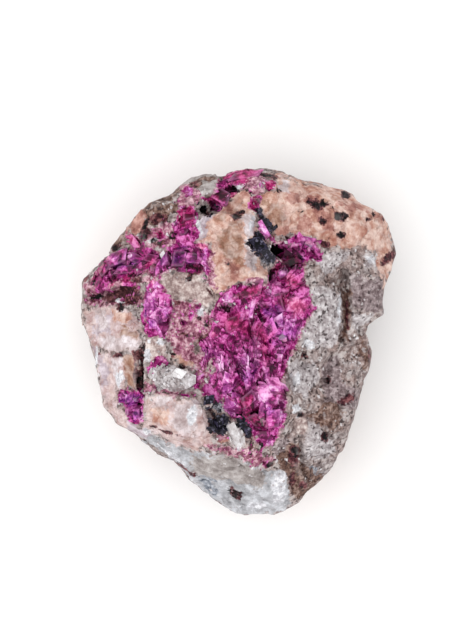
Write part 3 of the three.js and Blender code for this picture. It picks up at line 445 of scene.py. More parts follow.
PITS = [  # deep narrow hollows: middle, half width, half height, turn and depth
    (9, 20.2, 1.8, 1.4, -30, 2), (12, 19, 1.8, 0.6, -8, 1.2), (-5.8, 28.8, 1.9, 0.7, 16, 1.6),
    (-7.9, 29.2, 0.7, 0.8, 0, 0.8), (-2.6, 33.4, 2, 0.8, -4, 1.4), (-21.7, -6.5, 0.7, 4.2, 0, 2.2),
    (-22.3, -13.5, 1.1, 0.4, 0, 1.2), (3.3, -15.1, 0.9, 1.3, 0, 1.2), (0.4, -15.3, 0.8, 0.5, 0, 1),
    (-15.2, 18.4, 0.4, 2, 0, 1), (7.1, 14.2, 0.6, 2.4, 4, 1), (-27, 10.6, 4.6, 1.2, 10, 1),
    (-4.6, -17, 1.6, 2, 20, 0.8), (1.6, -10.4, 1.8, 0.6, -8, 0.9), (9, -13.4, 0.5, 3.4, -16, 0.6),
    (11.6, -8, 0.5, 2.6, 26, 0.6), (13.6, -23.4, 0.6, 3, 8, 0.9), (-6, 10.6, 0.3, 1.8, 36, 0.5),
    (14.4, -28.6, 0.6, 2, 24, 0.7),
]
SOFT_EDGE = 2.2  # mm over which one look passes into the next
SHARP_LOOKS = ("magenta", "dark", "quartz")  # the looks that end within half that
EDGE_WANDER = 0.9  # mm that a look's edge wanders from its outline
SPOT_WANDER = 0.4  # how far a spot's edge wanders, as a part of its least half width
PINK_VEINS_BELOW = 20  # mm above the table, up to which the sides have magenta veins
CLEAVED_LOOKS = ("peach", "pale_peach", "salmon", "tan", "lavender", "ivory")  # calcite
SMOOTH_BAND = (0.2, 36.4, 4.4, 1.6, 14)  # where the magenta on the top edge is one smooth face

skin_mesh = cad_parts["stone"].data.copy()
skin_mesh.name = "host_rock"
skin = bpy.data.objects.new("host_rock", skin_mesh)
bpy.context.collection.objects.link(skin)
even_out = skin.modifiers.new("even_out", "REMESH")
even_out.mode = "VOXEL"
even_out.voxel_size = SKIN_STEP
built = skin.evaluated_get(bpy.context.evaluated_depsgraph_get())
even_mesh = bpy.data.meshes.new_from_object(built)
skin.modifiers.clear()
skin.data = even_mesh
even_mesh.name = "host_rock"


def points_of(mesh):
    """The places of a mesh's points, in mm, as an N by 3 array."""
    flat = np.empty(len(mesh.vertices) * 3)
    mesh.vertices.foreach_get("co", flat)
    return flat.reshape(-1, 3) / MM


def normals_of(mesh):
    """The outward normals of a mesh's points, as an N by 3 array."""
    flat = np.empty(len(mesh.vertices) * 3)
    mesh.vertices.foreach_get("normal", flat)
    return flat.reshape(-1, 3)


def edges_of(mesh):
    """The two points of each edge of a mesh, as an N by 2 array."""
    flat = np.empty(len(mesh.edges) * 2, dtype=np.int64)
    mesh.edges.foreach_get("vertices", flat)
    return flat.reshape(-1, 2)


def smooth_over(values, edges, rounds):
    """values averaged with their neighbours, so many rounds over."""
    a, b = edges.T
    count = np.bincount(a, minlength=len(values)) + np.bincount(b, minlength=len(values))
    columns = values.reshape(len(values), -1).copy()
    for _ in range(rounds):
        for k in range(columns.shape[1]):
            column = columns[:, k]
            total = np.bincount(a, column[b], len(values)) + np.bincount(b, column[a], len(values))
            columns[:, k] = 0.5 * column + 0.5 * total / np.maximum(count, 1)
    return columns.reshape(values.shape)


def smooth_noise(points, wave, seed):
    """Smooth noise from about -1 to 1, with features wave mm apart."""
    shifted = points / wave + np.array([7.1, 3.7, 5.3]) * seed
    return np.array([noise.noise(p) for p in shifted])


def broken_facets(points, size, tilt, seed):
    """Height of small flat facets, each size mm wide, tilted and offset at random."""
    heights = np.empty(len(points))
    shifted = points / size + np.array([3.3, 9.1, 1.7]) * seed
    for i, place in enumerate(shifted):
        middle = noise.voronoi(place)[1][0]
        lean = noise.cell_vector(middle) - Vector((0.5, 0.5, 0.5))
        heights[i] = lean.dot(Vector(place) - middle) * tilt + lean.z * 0.3
    return heights * size


def step(low, high, values):
    """0 below low, 1 above high, and smooth between."""
    t = np.clip((values - low) / (high - low), 0, 1)
    return t * t * (3 - 2 * t)


def in_steps(heights, rise):
    """The same slopes cut into level steps, each rise mm high, as calcite cleaves."""
    level = np.floor(heights / rise)
    return (level + step(0.3, 0.7, heights / rise - level)) * rise


def depth_inside(points, outline):
    """Distance from each point to an outline seen from above, above zero inside it."""
    x, y = points[:, 0], points[:, 1]
    nearest = np.full(len(points), 1e9)
    inside = np.zeros(len(points), bool)
    for (ax, ay), (bx, by) in zip(outline, outline[1:] + outline[:1]):
        ex, ey = bx - ax, by - ay
        along = np.clip(((x - ax) * ex + (y - ay) * ey) / (ex * ex + ey * ey), 0, 1)
        nearest = np.minimum(nearest, np.hypot(x - ax - along * ex, y - ay - along * ey))
        crosses = (ay > y) != (by > y)
        inside ^= crosses & (x < ex * (y - ay) / (ey if ey else 1e-9) + ax)
    return np.where(inside, nearest, -nearest)


def depth_in_spot(points, x, y, half_width, half_height, turn):
    """About how far each point is inside an oval seen from above, in mm."""
    angle = math.radians(turn)
    dx, dy = points[:, 0] - x, points[:, 1] - y
    along = (dx * math.cos(angle) + dy * math.sin(angle)) / half_width
    across = (dy * math.cos(angle) - dx * math.sin(angle)) / half_height
    return (1 - np.hypot(along, across)) * min(half_width, half_height)


points = points_of(even_mesh)
normals = normals_of(even_mesh)
edges = edges_of(even_mesh)
broad_normals = smooth_over(normals, edges, 12)
broad_normals /= np.linalg.norm(broad_normals, axis=1, keepdims=True)

# How far each point belongs to the crystal face, and not to the sides or underside.
upward = step(-0.15, 0.15, broad_normals[:, 2])

# How the edges of the looks wander, in broad bends with finer ones on them.
wander = smooth_noise(points, wave=2.6, seed=1)
wander += 0.6 * smooth_noise(points, wave=1.2, seed=2)
wander += 0.4 * smooth_noise(points, wave=0.7, seed=9)

# How much each look shows at each point of the skin, from 0 to 1.
masks = {}
for look, outlines in OUTLINES.items():
    depth = np.max([depth_inside(points, outline) for outline in outlines], axis=0)
    half_edge = SOFT_EDGE / 4 if look in SHARP_LOOKS else SOFT_EDGE / 2
    masks[look] = step(-half_edge, half_edge, depth + EDGE_WANDER * wander) * upward
clusters = masks["dark"].copy()  # where black crystals stand out of the skin
for look, spots in SPOTS.items():
    masks.setdefault(look, np.zeros(len(points)))
    for spot in spots:
        reach = min(spot[2:4])
        depth = depth_in_spot(points, *spot) + SPOT_WANDER * reach * wander
        half_edge = 0.25 + 0.5 * reach  # a small spot fades over more of itself
        masks[look] = np.maximum(masks[look], step(-half_edge, half_edge, depth) * upward)

# A brown stain around the black grains.
stain = step(0.06, 0.4, smooth_over(masks["dark"], edges, 5))
masks["brown"] = np.maximum(masks["brown"], 0.75 * stain)

# The sides and underside show the same minerals in wide veins.
vein = smooth_noise(points, wave=17, seed=5) + 0.4 * smooth_noise(points, wave=6, seed=6)
patch = smooth_noise(points, wave=14, seed=7) + 0.4 * smooth_noise(points, wave=5, seed=8)
low_down = points[:, 2] < PINK_VEINS_BELOW
side = 1 - upward
masks["peach"] = np.maximum(masks["peach"], step(0.1, 0.25, vein) * side)
masks["brown"] = np.maximum(masks["brown"], step(0.3, 0.45, patch) * side)
masks["magenta"] = np.maximum(masks["magenta"], step(0.42, 0.5, -vein) * side * low_down)
masks["pale_grey"] = np.maximum(masks["pale_grey"], step(0.1, 0.3, -patch) * side)
masks["rusty"] = np.maximum(masks["rusty"], step(0.15, 0.3, vein * patch * 4) * side)

# A pink border lies round the magenta, and margin is the part of it that is outside.
grown = smooth_over(masks["magenta"], edges, 40)
masks["blush"] = np.maximum(masks["blush"], 0.8 * step(0.15, 0.6, grown))
masks["margin"] = masks["blush"] * (1 - masks["magenta"])

# The skin's own relief: rock breaks into grains, calcite into low flat steps, and the
# magenta crust into steep facets. The calcite's broad faces are evened out first, and
# all of it fades out at the flat base, on which the stone rests.
lifted = step(0.02, 1.5, points[:, 2])
calcite = np.maximum.reduce([masks[look] for look in CLEAVED_LOOKS])
eased = points + calcite[:, None] * (smooth_over(points, edges, 24) - points)
crust = masks["magenta"]
rock = 1 - np.maximum(calcite, crust)
rolling = 0.5 * smooth_noise(points, wave=4.2, seed=3) + 0.3 * smooth_noise(points, wave=1.9, seed=4)
fine = broken_facets(points, size=1.1, tilt=1.0, seed=2)
coarse = broken_facets(points, size=2.6, tilt=0.9, seed=4)
cleaved = in_steps(broken_facets(points, size=5.5, tilt=0.4, seed=3), rise=0.35)
steep = broken_facets(points, size=3.2, tilt=1.1, seed=1)
height = rock * (rolling + 0.35 * coarse + 0.15 * fine)
height += calcite * (0.3 * rolling + 0.4 * cleaved + 0.05 * fine)
calm = step(-0.3, 0.3, depth_in_spot(points, *SMOOTH_BAND))
height += crust * (1 - calm) * (0.6 * steep + 0.25 * fine - 0.35)
in_pit = np.zeros(len(points))
for *oval, depth in PITS:
    inside = step(-0.35, 0.5, depth_in_spot(points, *oval) / min(oval[2:4]) + 0.25 * wander) * upward
    height -= depth * inside
    in_pit = np.maximum(in_pit, inside)
quiet_rim = 0.45 + 0.55 * step(0.05, 0.45, broad_normals[:, 2])  # the stone's outline is even
moved = eased + normals * (height * lifted * quiet_rim)[:, None]
LOW_CORNER, HIGH_CORNER = np.array(cad_box) / MM
moved = np.clip(moved, LOW_CORNER, HIGH_CORNER)
even_mesh.vertices.foreach_set("co", (moved * MM).ravel())
even_mesh.update()
smooth_faces = [bool(crust[polygon.vertices[0]] < 0.5) for polygon in even_mesh.polygons]
even_mesh.polygons.foreach_set("use_smooth", smooth_faces)

# Painted shade darkens the hollows and pits, and a painted highlight makes the edges that stand out
# paler.
sunk = np.einsum("ij,ij->i", smooth_over(moved, edges, 30) - moved, broad_normals)
masks["hollow"] = np.maximum(step(0.1, 0.9, sunk), 0.8 * in_pit)
masks["crest"] = step(0.15, 0.7, -sunk)


def write_masks(mesh, values):
    """Each mask kept with the mesh's points, for its paint to read."""
    for name, column in values.items():
        layer = mesh.attributes.new(name, "FLOAT", "POINT")
        layer.data.foreach_set("value", column.astype(np.float32))


write_masks(even_mesh, masks)


def colour(red, green, blue):
    """A colour given as a painter's 0 to 255, in the shader's linear units."""
    def linear(value):
        value = value / 255
        return value / 12.92 if value <= 0.04045 else ((value + 0.055) / 1.055) ** 2.4
    return (linear(red), linear(green), linear(blue), 1)


def new_group(name, inputs, outputs):
    """A shader node group with its named sockets, and its input and output nodes."""
    group = bpy.data.node_groups.new(name, "ShaderNodeTree")
    for label, kind, value in inputs:
        socket = group.interface.new_socket(label, in_out="INPUT", socket_type=kind)
        if value is not None:
            socket.default_value = value
    for label, kind in outputs:
        group.interface.new_socket(label, in_out="OUTPUT", socket_type=kind)
    return group, group.nodes.new("NodeGroupInput"), group.nodes.new("NodeGroupOutput")


def add(tree, kind, links=None, **settings):
    """A new node with its settings, and its inputs linked or set."""
    node = tree.nodes.new(kind)
    for name, value in settings.items():
        setattr(node, name, value)
    for name, source in (links or {}).items():
        if isinstance(source, bpy.types.NodeSocket):
            tree.links.new(source, node.inputs[name])
        else:
            node.inputs[name].default_value = source
    return node


def mix(tree, factor, below, above, blend="MIX"):
    """The colour of a Mix node."""
    node = add(tree, "ShaderNodeMix", data_type="RGBA", blend_type=blend)
    for index, source in ((0, factor), (6, below), (7, above)):
        if isinstance(source, bpy.types.NodeSocket):
            tree.links.new(source, node.inputs[index])
        else:
            node.inputs[index].default_value = source
    return node.outputs[2]


def scaled(tree, value, factor):
    """One value times another."""
    return add(tree, "ShaderNodeMath", {0: value, 1: factor}, operation="MULTIPLY").outputs[0]


def summed(tree, first, second):
    """One value plus another."""
    return add(tree, "ShaderNodeMath", {0: first, 1: second}).outputs[0]


def ranged(tree, value, low, high, new_low=0.0, new_high=1.0):
    """A value's range of low to high spread over a new one, and held inside it."""
    ends = {0: value, 1: low, 2: high, 3: new_low, 4: new_high}
    return add(tree, "ShaderNodeMapRange", ends).outputs[0]


# Clouds: a soft value of about 0.2 to 0.8, in patches of a given size.
FLOAT, COLOUR = "NodeSocketFloat", "NodeSocketColor"
clouds, clouds_in, clouds_out = new_group("clouds", [("Scale", FLOAT, 400.0)], [("Value", FLOAT)])
place = add(clouds, "ShaderNodeTexCoord")
fog = add(clouds, "ShaderNodeTexNoise", {
    "Vector": place.outputs["Object"],
    "Scale": clouds_in.outputs["Scale"],
    "Detail": 5.0,
    "Roughness": 0.7,
})
clouds.links.new(fog.outputs["Fac"], clouds_out.inputs["Value"])

# Tones: three colours of one mineral, passing softly from the dark to the light one.
ALL_DARK, ALL_MIDDLE, ALL_LIGHT = 0.36, 0.5, 0.64  # the values where one colour shows alone
tones, tones_in, tones_out = new_group(
    "tones",
    [("Value", FLOAT, 0.5), ("Dark", COLOUR, None), ("Middle", COLOUR, None), ("Light", COLOUR, None)],
    [("Color", COLOUR)],
)
low = ranged(tones, tones_in.outputs["Value"], ALL_DARK, ALL_MIDDLE)
high = ranged(tones, tones_in.outputs["Value"], ALL_MIDDLE, ALL_LIGHT)
half_way = mix(tones, low, tones_in.outputs["Dark"], tones_in.outputs["Middle"])
toned = mix(tones, high, half_way, tones_in.outputs["Light"])
tones.links.new(toned, tones_out.inputs["Color"])

# Grains: bent grains, each with a value of its own, and a mask of a share of them.
GRAIN_BEND = 0.6 * MM  # how far the noise moves the edges of the grains
grains, grains_in, grains_out = new_group(
    "grains", [("Scale", FLOAT, 1500.0), ("Share", FLOAT, 0.2)], [("Mask", FLOAT), ("Value", FLOAT)])
place = add(grains, "ShaderNodeTexCoord")
bend = add(grains, "ShaderNodeTexNoise", {"Vector": place.outputs["Object"], "Scale": 1400.0})
bent = add(
    grains, "ShaderNodeVectorMath", {0: bend.outputs["Color"], "Scale": GRAIN_BEND}, operation="SCALE")
spread = add(grains, "ShaderNodeVectorMath", {0: place.outputs["Object"], 1: bent.outputs[0]})
cells = add(grains, "ShaderNodeTexVoronoi", {
    "Vector": spread.outputs[0],
    "Scale": grains_in.outputs["Scale"],
})
parts = add(grains, "ShaderNodeSeparateColor", {"Color": cells.outputs["Color"]})
compared = {0: parts.outputs[0], 1: grains_in.outputs["Share"]}
chosen = add(grains, "ShaderNodeMath", compared, operation="LESS_THAN")
grains.links.new(chosen.outputs[0], grains_out.inputs["Mask"])
grains.links.new(parts.outputs[1], grains_out.inputs["Value"])

# Cracks: a mask of fine wandering cracks.
CRACK_BEND = 4 * MM  # how far the noise moves the cracks
cracks, cracks_in, cracks_out = new_group(
    "cracks", [("Scale", FLOAT, 200.0), ("Width", FLOAT, 0.03)], [("Mask", FLOAT)])
place = add(cracks, "ShaderNodeTexCoord")
bend = add(cracks, "ShaderNodeTexNoise", {
    "Vector": place.outputs["Object"],
    "Scale": 500.0,
    "Detail": 3.0,
})
bent = add(
    cracks, "ShaderNodeVectorMath", {0: bend.outputs["Color"], "Scale": CRACK_BEND}, operation="SCALE")
spread = add(cracks, "ShaderNodeVectorMath", {0: place.outputs["Object"], 1: bent.outputs[0]})
cells = add(cracks, "ShaderNodeTexVoronoi", {
    "Vector": spread.outputs[0],
    "Scale": cracks_in.outputs["Scale"],
}, feature="DISTANCE_TO_EDGE")
line = ranged(cracks, cells.outputs["Distance"], 0.0, cracks_in.outputs["Width"], 1.0, 0.0)
cracks.links.new(line, cracks_out.inputs["Mask"])

# Magenta: the crystal's pinks, from wine to lilac. The wine pink also paints shade in the crust's
# hollows and pockets, and the lilac pink also paints highlights on its lit blades and facets. Value
# moves each from dark to light.
PINKS = {  # dark, middle and light colour
    "magenta": ((84, 6, 58), (170, 40, 126), (226, 126, 198)),
    "rose": ((142, 38, 86), (200, 84, 134), (232, 154, 192)),
    "crimson": ((78, 2, 40), (156, 24, 92), (206, 84, 146)),
    "violet": ((60, 8, 70), (130, 34, 130), (198, 102, 196)),
    "wine_and_shade": ((14, 0, 8), (58, 2, 32), (126, 30, 80)),
    "lilac_and_highlight": ((168, 66, 152), (220, 130, 204), (248, 212, 244)),
}
OTHER_PINKS = [look for look in PINKS if look != "magenta"]  # each lies over the magenta
pink_inputs = [("Value", FLOAT, 0.5)] + [(look, FLOAT, 0.0) for look in OTHER_PINKS]
pinks, pinks_in, pinks_out = new_group("pinks", pink_inputs, [("Color", COLOUR)])


def use_tones(tree, value, dark, middle, light):
    """Three colours of a mineral, picked by value."""
    asked = {"Value": value, "Dark": colour(*dark), "Middle": colour(*middle), "Light": colour(*light)}
    return add(tree, "ShaderNodeGroup", asked, node_tree=tones).outputs["Color"]


tone = use_tones(pinks, pinks_in.outputs["Value"], *PINKS["magenta"])
for look in OTHER_PINKS:
    shade = use_tones(pinks, pinks_in.outputs["Value"], *PINKS[look])
    tone = mix(pinks, pinks_in.outputs[look], tone, shade)
pinks.links.new(tone, pinks_out.inputs["Color"])


def per_metre(size):
    """How many features size mm wide go into a metre, which is a texture's scale."""
    return 1000 / size


def use_clouds(tree, size):
    """A soft value in patches about size mm wide."""
    return add(tree, "ShaderNodeGroup", {"Scale": per_metre(size)}, node_tree=clouds).outputs["Value"]


def use_grains(tree, size, share):
    """A mask of grains size mm wide that take up a share of the surface."""
    asked = {"Scale": per_metre(size), "Share": share}
    return add(tree, "ShaderNodeGroup", asked, node_tree=grains).outputs["Mask"]


def use_speckle(tree, size, spread):
    """Clouds broken up into grains size mm wide, with values up to spread apart."""
    node = add(tree, "ShaderNodeGroup", {"Scale": per_metre(size)}, node_tree=grains)
    offset = ranged(tree, node.outputs["Value"], 0.0, 1.0, -spread / 2, spread / 2)
    return summed(tree, use_clouds(tree, 2 * size), offset)


def use_cracks(tree, size, width):
    """A mask of cracks size mm apart and width mm wide."""
    asked = {"Scale": per_metre(size), "Width": width / size}
    return add(tree, "ShaderNodeGroup", asked, node_tree=cracks).outputs["Mask"]


def mask_of(tree, name):
    """A mask that the mesh's points carry."""
    return add(tree, "ShaderNodeAttribute", attribute_name=name).outputs["Fac"]


GRAIN_EDGE = 0.14  # half the softness of a single grain's edge


def ragged_mask(tree, name, grit):
    """A look's mask with its soft edge broken up into grains by the grit value."""
    over = add(tree, "ShaderNodeMath", {0: mask_of(tree, name), 1: grit}, operation="SUBTRACT")
    return ranged(tree, over.outputs[0], -GRAIN_EDGE, GRAIN_EDGE)


SAND_DEPTH = 0.2 * MM  # how deep the finest roughness goes
FINISHES = {  # dark, middle and light colour of each look, and which clouds it varies by
    "pale_grey": ((134, 124, 126), (174, 166, 168), (214, 209, 211), "small"),
    "mauve_grey": ((94, 78, 80), (136, 120, 122), (178, 164, 166), "small"),
    "blue_grey": ((134, 134, 138), (172, 172, 177), (206, 208, 214), "middling"),
    "beige_grey": ((126, 117, 115), (158, 150, 148), (190, 184, 183), "middling"),
    "dusky": ((86, 92, 102), (134, 138, 148), (182, 186, 194), "small"),
    "slate": ((12, 12, 18), (84, 82, 92), (190, 192, 202), "small"),
    "pale_peach": ((162, 130, 127), (188, 165, 165), (218, 203, 206), "middling"),
    "peach": ((152, 100, 86), (190, 147, 132), (224, 198, 186), "middling"),
    "salmon": ((130, 82, 76), (168, 120, 110), (204, 162, 152), "middling"),
    "tan": ((116, 76, 60), (150, 112, 94), (184, 150, 134), "middling"),
    "lavender": ((152, 134, 142), (184, 170, 178), (214, 204, 212), "middling"),
    "cream": ((138, 116, 114), (180, 160, 156), (220, 208, 204), "small"),
    "ivory": ((166, 148, 148), (198, 184, 186), (230, 222, 226), "middling"),
    "blush": ((100, 44, 66), (164, 106, 126), (218, 182, 192), "small"),
    "rusty": ((66, 44, 38), (110, 83, 74), (162, 139, 130), "small"),
    "brown": ((24, 8, 14), (80, 38, 46), (140, 90, 92), "small"),
}
LATE_FINISHES = {  # the looks that lie over the magenta
    "quartz": ((150, 146, 154), (200, 198, 206), (242, 242, 248), "small"),
    "white": ((168, 166, 172), (204, 204, 210), (236, 236, 240), "small"),
    "dark": ((2, 2, 3), (10, 8, 10), (62, 50, 54), "small"),
}


def paint_rock(name, bump):
    """The stone's own paint: each mineral's colours laid over the grey of the rock."""
    paint, tree, shader = new_paint(name)
    varied = {
        "small": use_speckle(tree, size=0.6, spread=0.14),
        "middling": use_clouds(tree, size=2.6),
        "large": use_clouds(tree, size=5),
    }

    # Grey rock that drifts from cool to warm, with pale grains and dark specks.
    cool = use_tones(tree, varied["small"], (108, 96, 96), (150, 139, 138), (194, 186, 186))
    warm = use_tones(tree, varied["small"], (92, 74, 72), (138, 118, 114), (182, 164, 160))
    tone = mix(tree, ranged(tree, varied["large"], 0.42, 0.58), cool, warm)
    pale_grains = scaled(tree, use_grains(tree, size=1.1, share=0.1), 0.6)
    specks = scaled(tree, use_grains(tree, size=0.5, share=0.09), 0.85)
    tone = mix(tree, pale_grains, tone, colour(204, 196, 194))
    tone = mix(tree, specks, tone, colour(54, 42, 42))

    # The other minerals, laid on with edges as ragged as the grains are.
    grit = ranged(tree, use_speckle(tree, size=0.7, spread=0.12), 0.34, 0.66, 0.14, 0.86)
    gaps = ranged(tree, use_speckle(tree, size=0.45, spread=0.12), 0.36, 0.64, 0.1, 0.92)
    red_lines = scaled(tree, use_cracks(tree, size=3.8, width=0.2), 0.35)
    pale_veins = scaled(tree, use_cracks(tree, size=4.5, width=0.9), 0.4)
    for look, (*shades, size) in FINISHES.items():
        finish = use_tones(tree, varied[size], *shades)
        if look in ("peach", "pale_peach", "tan"):
            finish = mix(tree, pale_veins, finish, colour(230, 212, 206))
            finish = mix(tree, red_lines, finish, colour(150, 92, 78))
        if look in ("pale_grey", "mauve_grey", "rusty"):
            finish = mix(tree, specks, finish, colour(58, 46, 48))
        tone = mix(tree, ragged_mask(tree, look, grit), tone, finish)
    pink_shades = add(tree, "ShaderNodeGroup", {"Value": varied["small"]}, node_tree=pinks)
    for look in OTHER_PINKS:
        tree.links.new(ragged_mask(tree, look, grit), pink_shades.inputs[look])
    tone = mix(tree, ragged_mask(tree, "magenta", grit), tone, pink_shades.outputs["Color"])
    for look, (*shades, size) in LATE_FINISHES.items():
        edge = gaps if look == "dark" else grit
        tone = mix(tree, ragged_mask(tree, look, edge), tone, use_tones(tree, varied[size], *shades))

    # Cracks darken it all, painted shade darkens the hollows, and a painted highlight makes the raised
    # edges paler.
    splits = scaled(tree, use_cracks(tree, size=6.5, width=0.24), 0.25)
    painted_shade = scaled(tree, mask_of(tree, "hollow"), 0.55)
    edge_highlight = scaled(tree, mask_of(tree, "crest"), 0.2)
    tone = mix(tree, splits, tone, colour(112, 76, 70), "MULTIPLY")
    tone = mix(tree, painted_shade, tone, colour(92, 62, 60), "MULTIPLY")
    tone = mix(tree, edge_highlight, tone, colour(236, 228, 228))
    tree.links.new(tone, shader.inputs["Base Color"])
    shader.inputs["Roughness"].default_value = 0.6
    shader.inputs["Specular IOR Level"].default_value = 0.12
    where = add(tree, "ShaderNodeTexCoord")
    sand = add(tree, "ShaderNodeTexNoise", {
        "Vector": where.outputs["Object"],
        "Scale": 2600.0,
        "Detail": 4.0,
    })
    rough_skin = add(tree, "ShaderNodeBump", {
        "Height": sand.outputs["Fac"],
        "Strength": bump,
        "Distance": SAND_DEPTH,
    })
    tree.links.new(rough_skin.outputs["Normal"], shader.inputs["Normal"])
    return paint


even_mesh.materials.clear()
even_mesh.materials.append(paint_rock("host_rock", bump=0.6))

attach(skin, "root")
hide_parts("stone")

# The magenta crystals: flat-sided blades and rhombs of cobalt-rich calcite, grown over
# each other in a crust and fused to the rock below. They are glassy on their faces.
LEAST_HEIGHT = 3  # mm above the table below which no separate crystal grows
UPRIGHT = math.pi / 2  # the way that the blades of the lower field lie
CLEAVAGE_LEAN = 0.27  # how far a calcite rhomb leans, as a part of its height
RIPPLE_WAVE = 0.9  # mm between the ripples on a crystal's faces
CRYSTAL_SEED = 1806
rng = np.random.default_rng(CRYSTAL_SEED)
skin_tree = BVHTree.FromObject(skin, bpy.context.evaluated_depsgraph_get())
skin_points = KDTree(len(moved))
for i, place in enumerate(moved):
    skin_points.insert(place, i)
skin_points.balance()
lie = UPRIGHT + 1.7 * smooth_noise(points, wave=7, seed=11) * (1 - masks["blades"])


def crystal_form(lean, bevel=0, cuts=0):
    """A unit rhomb that leans like calcite cleaves, as points and faces, and how close
    each point is to an edge of the rhomb where its faces are cut up finely."""
    form = bmesh.new()
    bmesh.ops.create_cube(form, size=1)
    if bevel:
        bmesh.ops.bevel(form, geom=form.edges[:], offset=bevel, segments=1, affect="EDGES")
    if cuts:
        bmesh.ops.subdivide_edges(form, edges=form.edges[:], cuts=cuts, use_grid_fill=True)
    square = np.array([v.co for v in form.verts])
    rim = step(0.38, 0.46, np.sort(np.abs(square), axis=1)[:, 1]) * (cuts > 0)
    bmesh.ops.transform(form, matrix=Matrix.Shear("XY", 4, (lean, lean / 2)), verts=form.verts)
    bmesh.ops.transform(form, matrix=Matrix.Shear("XZ", 4, (lean, 0)), verts=form.verts)
    form.verts.index_update()
    corners = np.array([v.co for v in form.verts])
    faces = sorted([v.index for v in face.verts] for face in form.faces)  # one order each run
    form.free()
    return corners, faces, rim


def join_crystals(name, form, crystals, shared=(), ripple=0.0):
    """One mesh of many crystals, each (place, along, up, size, tint), in mm. It takes the
    shared masks from the skin beside it, and ripple is how wavy its faces are. The root
    mask rises from 0 on top of a crystal to 1 where it goes into the crust."""
    corners, faces, rim = form
    all_points = np.empty((len(crystals) * len(corners), 3))
    tints = np.empty(len(all_points))
    below = np.empty(len(all_points))
    all_faces = []
    for i, (place, along, up, size, tint) in enumerate(crystals):
        up = np.array(up) / np.linalg.norm(up)
        side = np.cross(up, along)
        side /= np.linalg.norm(side)
        ahead = np.cross(side, up)
        axes = np.stack([ahead * size[0], side * size[1], up * size[2]])
        first = i * len(corners)
        rows = slice(first, first + len(corners))
        all_points[rows] = np.array(place) + corners @ axes
        tints[rows] = tint
        below[rows] = (0.5 - corners[:, 2]) * size[2]
        all_faces += [[first + k for k in face] for face in faces]
    if ripple:
        all_points[:, 2] += ripple * smooth_noise(all_points, RIPPLE_WAVE, seed=21)
    mesh = bpy.data.meshes.new(name)
    mesh.from_pydata((np.clip(all_points, LOW_CORNER, HIGH_CORNER) * MM).tolist(), [], all_faces)
    grown_on = [skin_points.find(place)[1] for place in all_points]
    own = {"tint": tints, "root": step(0, 1.1, below), "rim": np.tile(rim, len(crystals))}
    write_masks(mesh, own | {mask: masks[mask][grown_on] for mask in shared})
    piece = bpy.data.objects.new(name, mesh)
    bpy.context.collection.objects.link(piece)
    return piece


def scatter(mask, count, length, slim, deep, tilt, proud):
    """Random crystals over the skin where mask is high. Neighbours lie much the same way.
    length is the least and most in mm, and slim and deep are the least and most width and
    depth as parts of it. proud is how far the tops stand above the skin, in mm."""
    open_skin = step(0.35, 0.85, broad_normals[:, 2]) * (moved[:, 2] > LEAST_HEIGHT) * (1 - in_pit)
    share = mask * open_skin
    picks = rng.choice(len(points), count, p=share / share.sum())
    crystals = []
    for pick in picks:
        long = rng.uniform(*length)
        size = (long, long * rng.uniform(*slim), long * rng.uniform(*deep))
        up = broad_normals[pick] + rng.normal(0, tilt, 3)
        turn = lie[pick] + rng.normal(0, 0.35)
        along = (math.cos(turn), math.sin(turn), rng.normal(0, 0.3))
        place = moved[pick] + broad_normals[pick] * (rng.uniform(*proud) - size[2] / 2)
        crystals.append((place, along, up, size, rng.uniform(0, 1)))
    return crystals


def set_crystal(x, y, proud, size, turn, lean, tint):
    """One listed crystal: its top stands proud mm above the skin below it."""
    hit = skin_tree.ray_cast(Vector((x * MM, y * MM, 1)), Vector((0, 0, -1)))[0] / MM
    out = broad_normals[skin_points.find(hit)[1]]
    up = out + np.array((math.sin(math.radians(lean[0])), math.sin(math.radians(lean[1])), 0))
    along = (math.cos(math.radians(turn)), math.sin(math.radians(turn)), 0)
    return np.array(hit) + out * (proud - size[2] / 2), along, up, size, tint


def beside(singles):
    """1 on the skin around the listed crystals, and 0 where they stand."""
    clear = np.ones(len(points))
    for x, y, _, (length, width, _), turn, _, _ in singles:
        clear *= 1 - step(-0.2, 0.2, depth_in_spot(points, x, y, length / 2, width / 2, turn))
    return clear


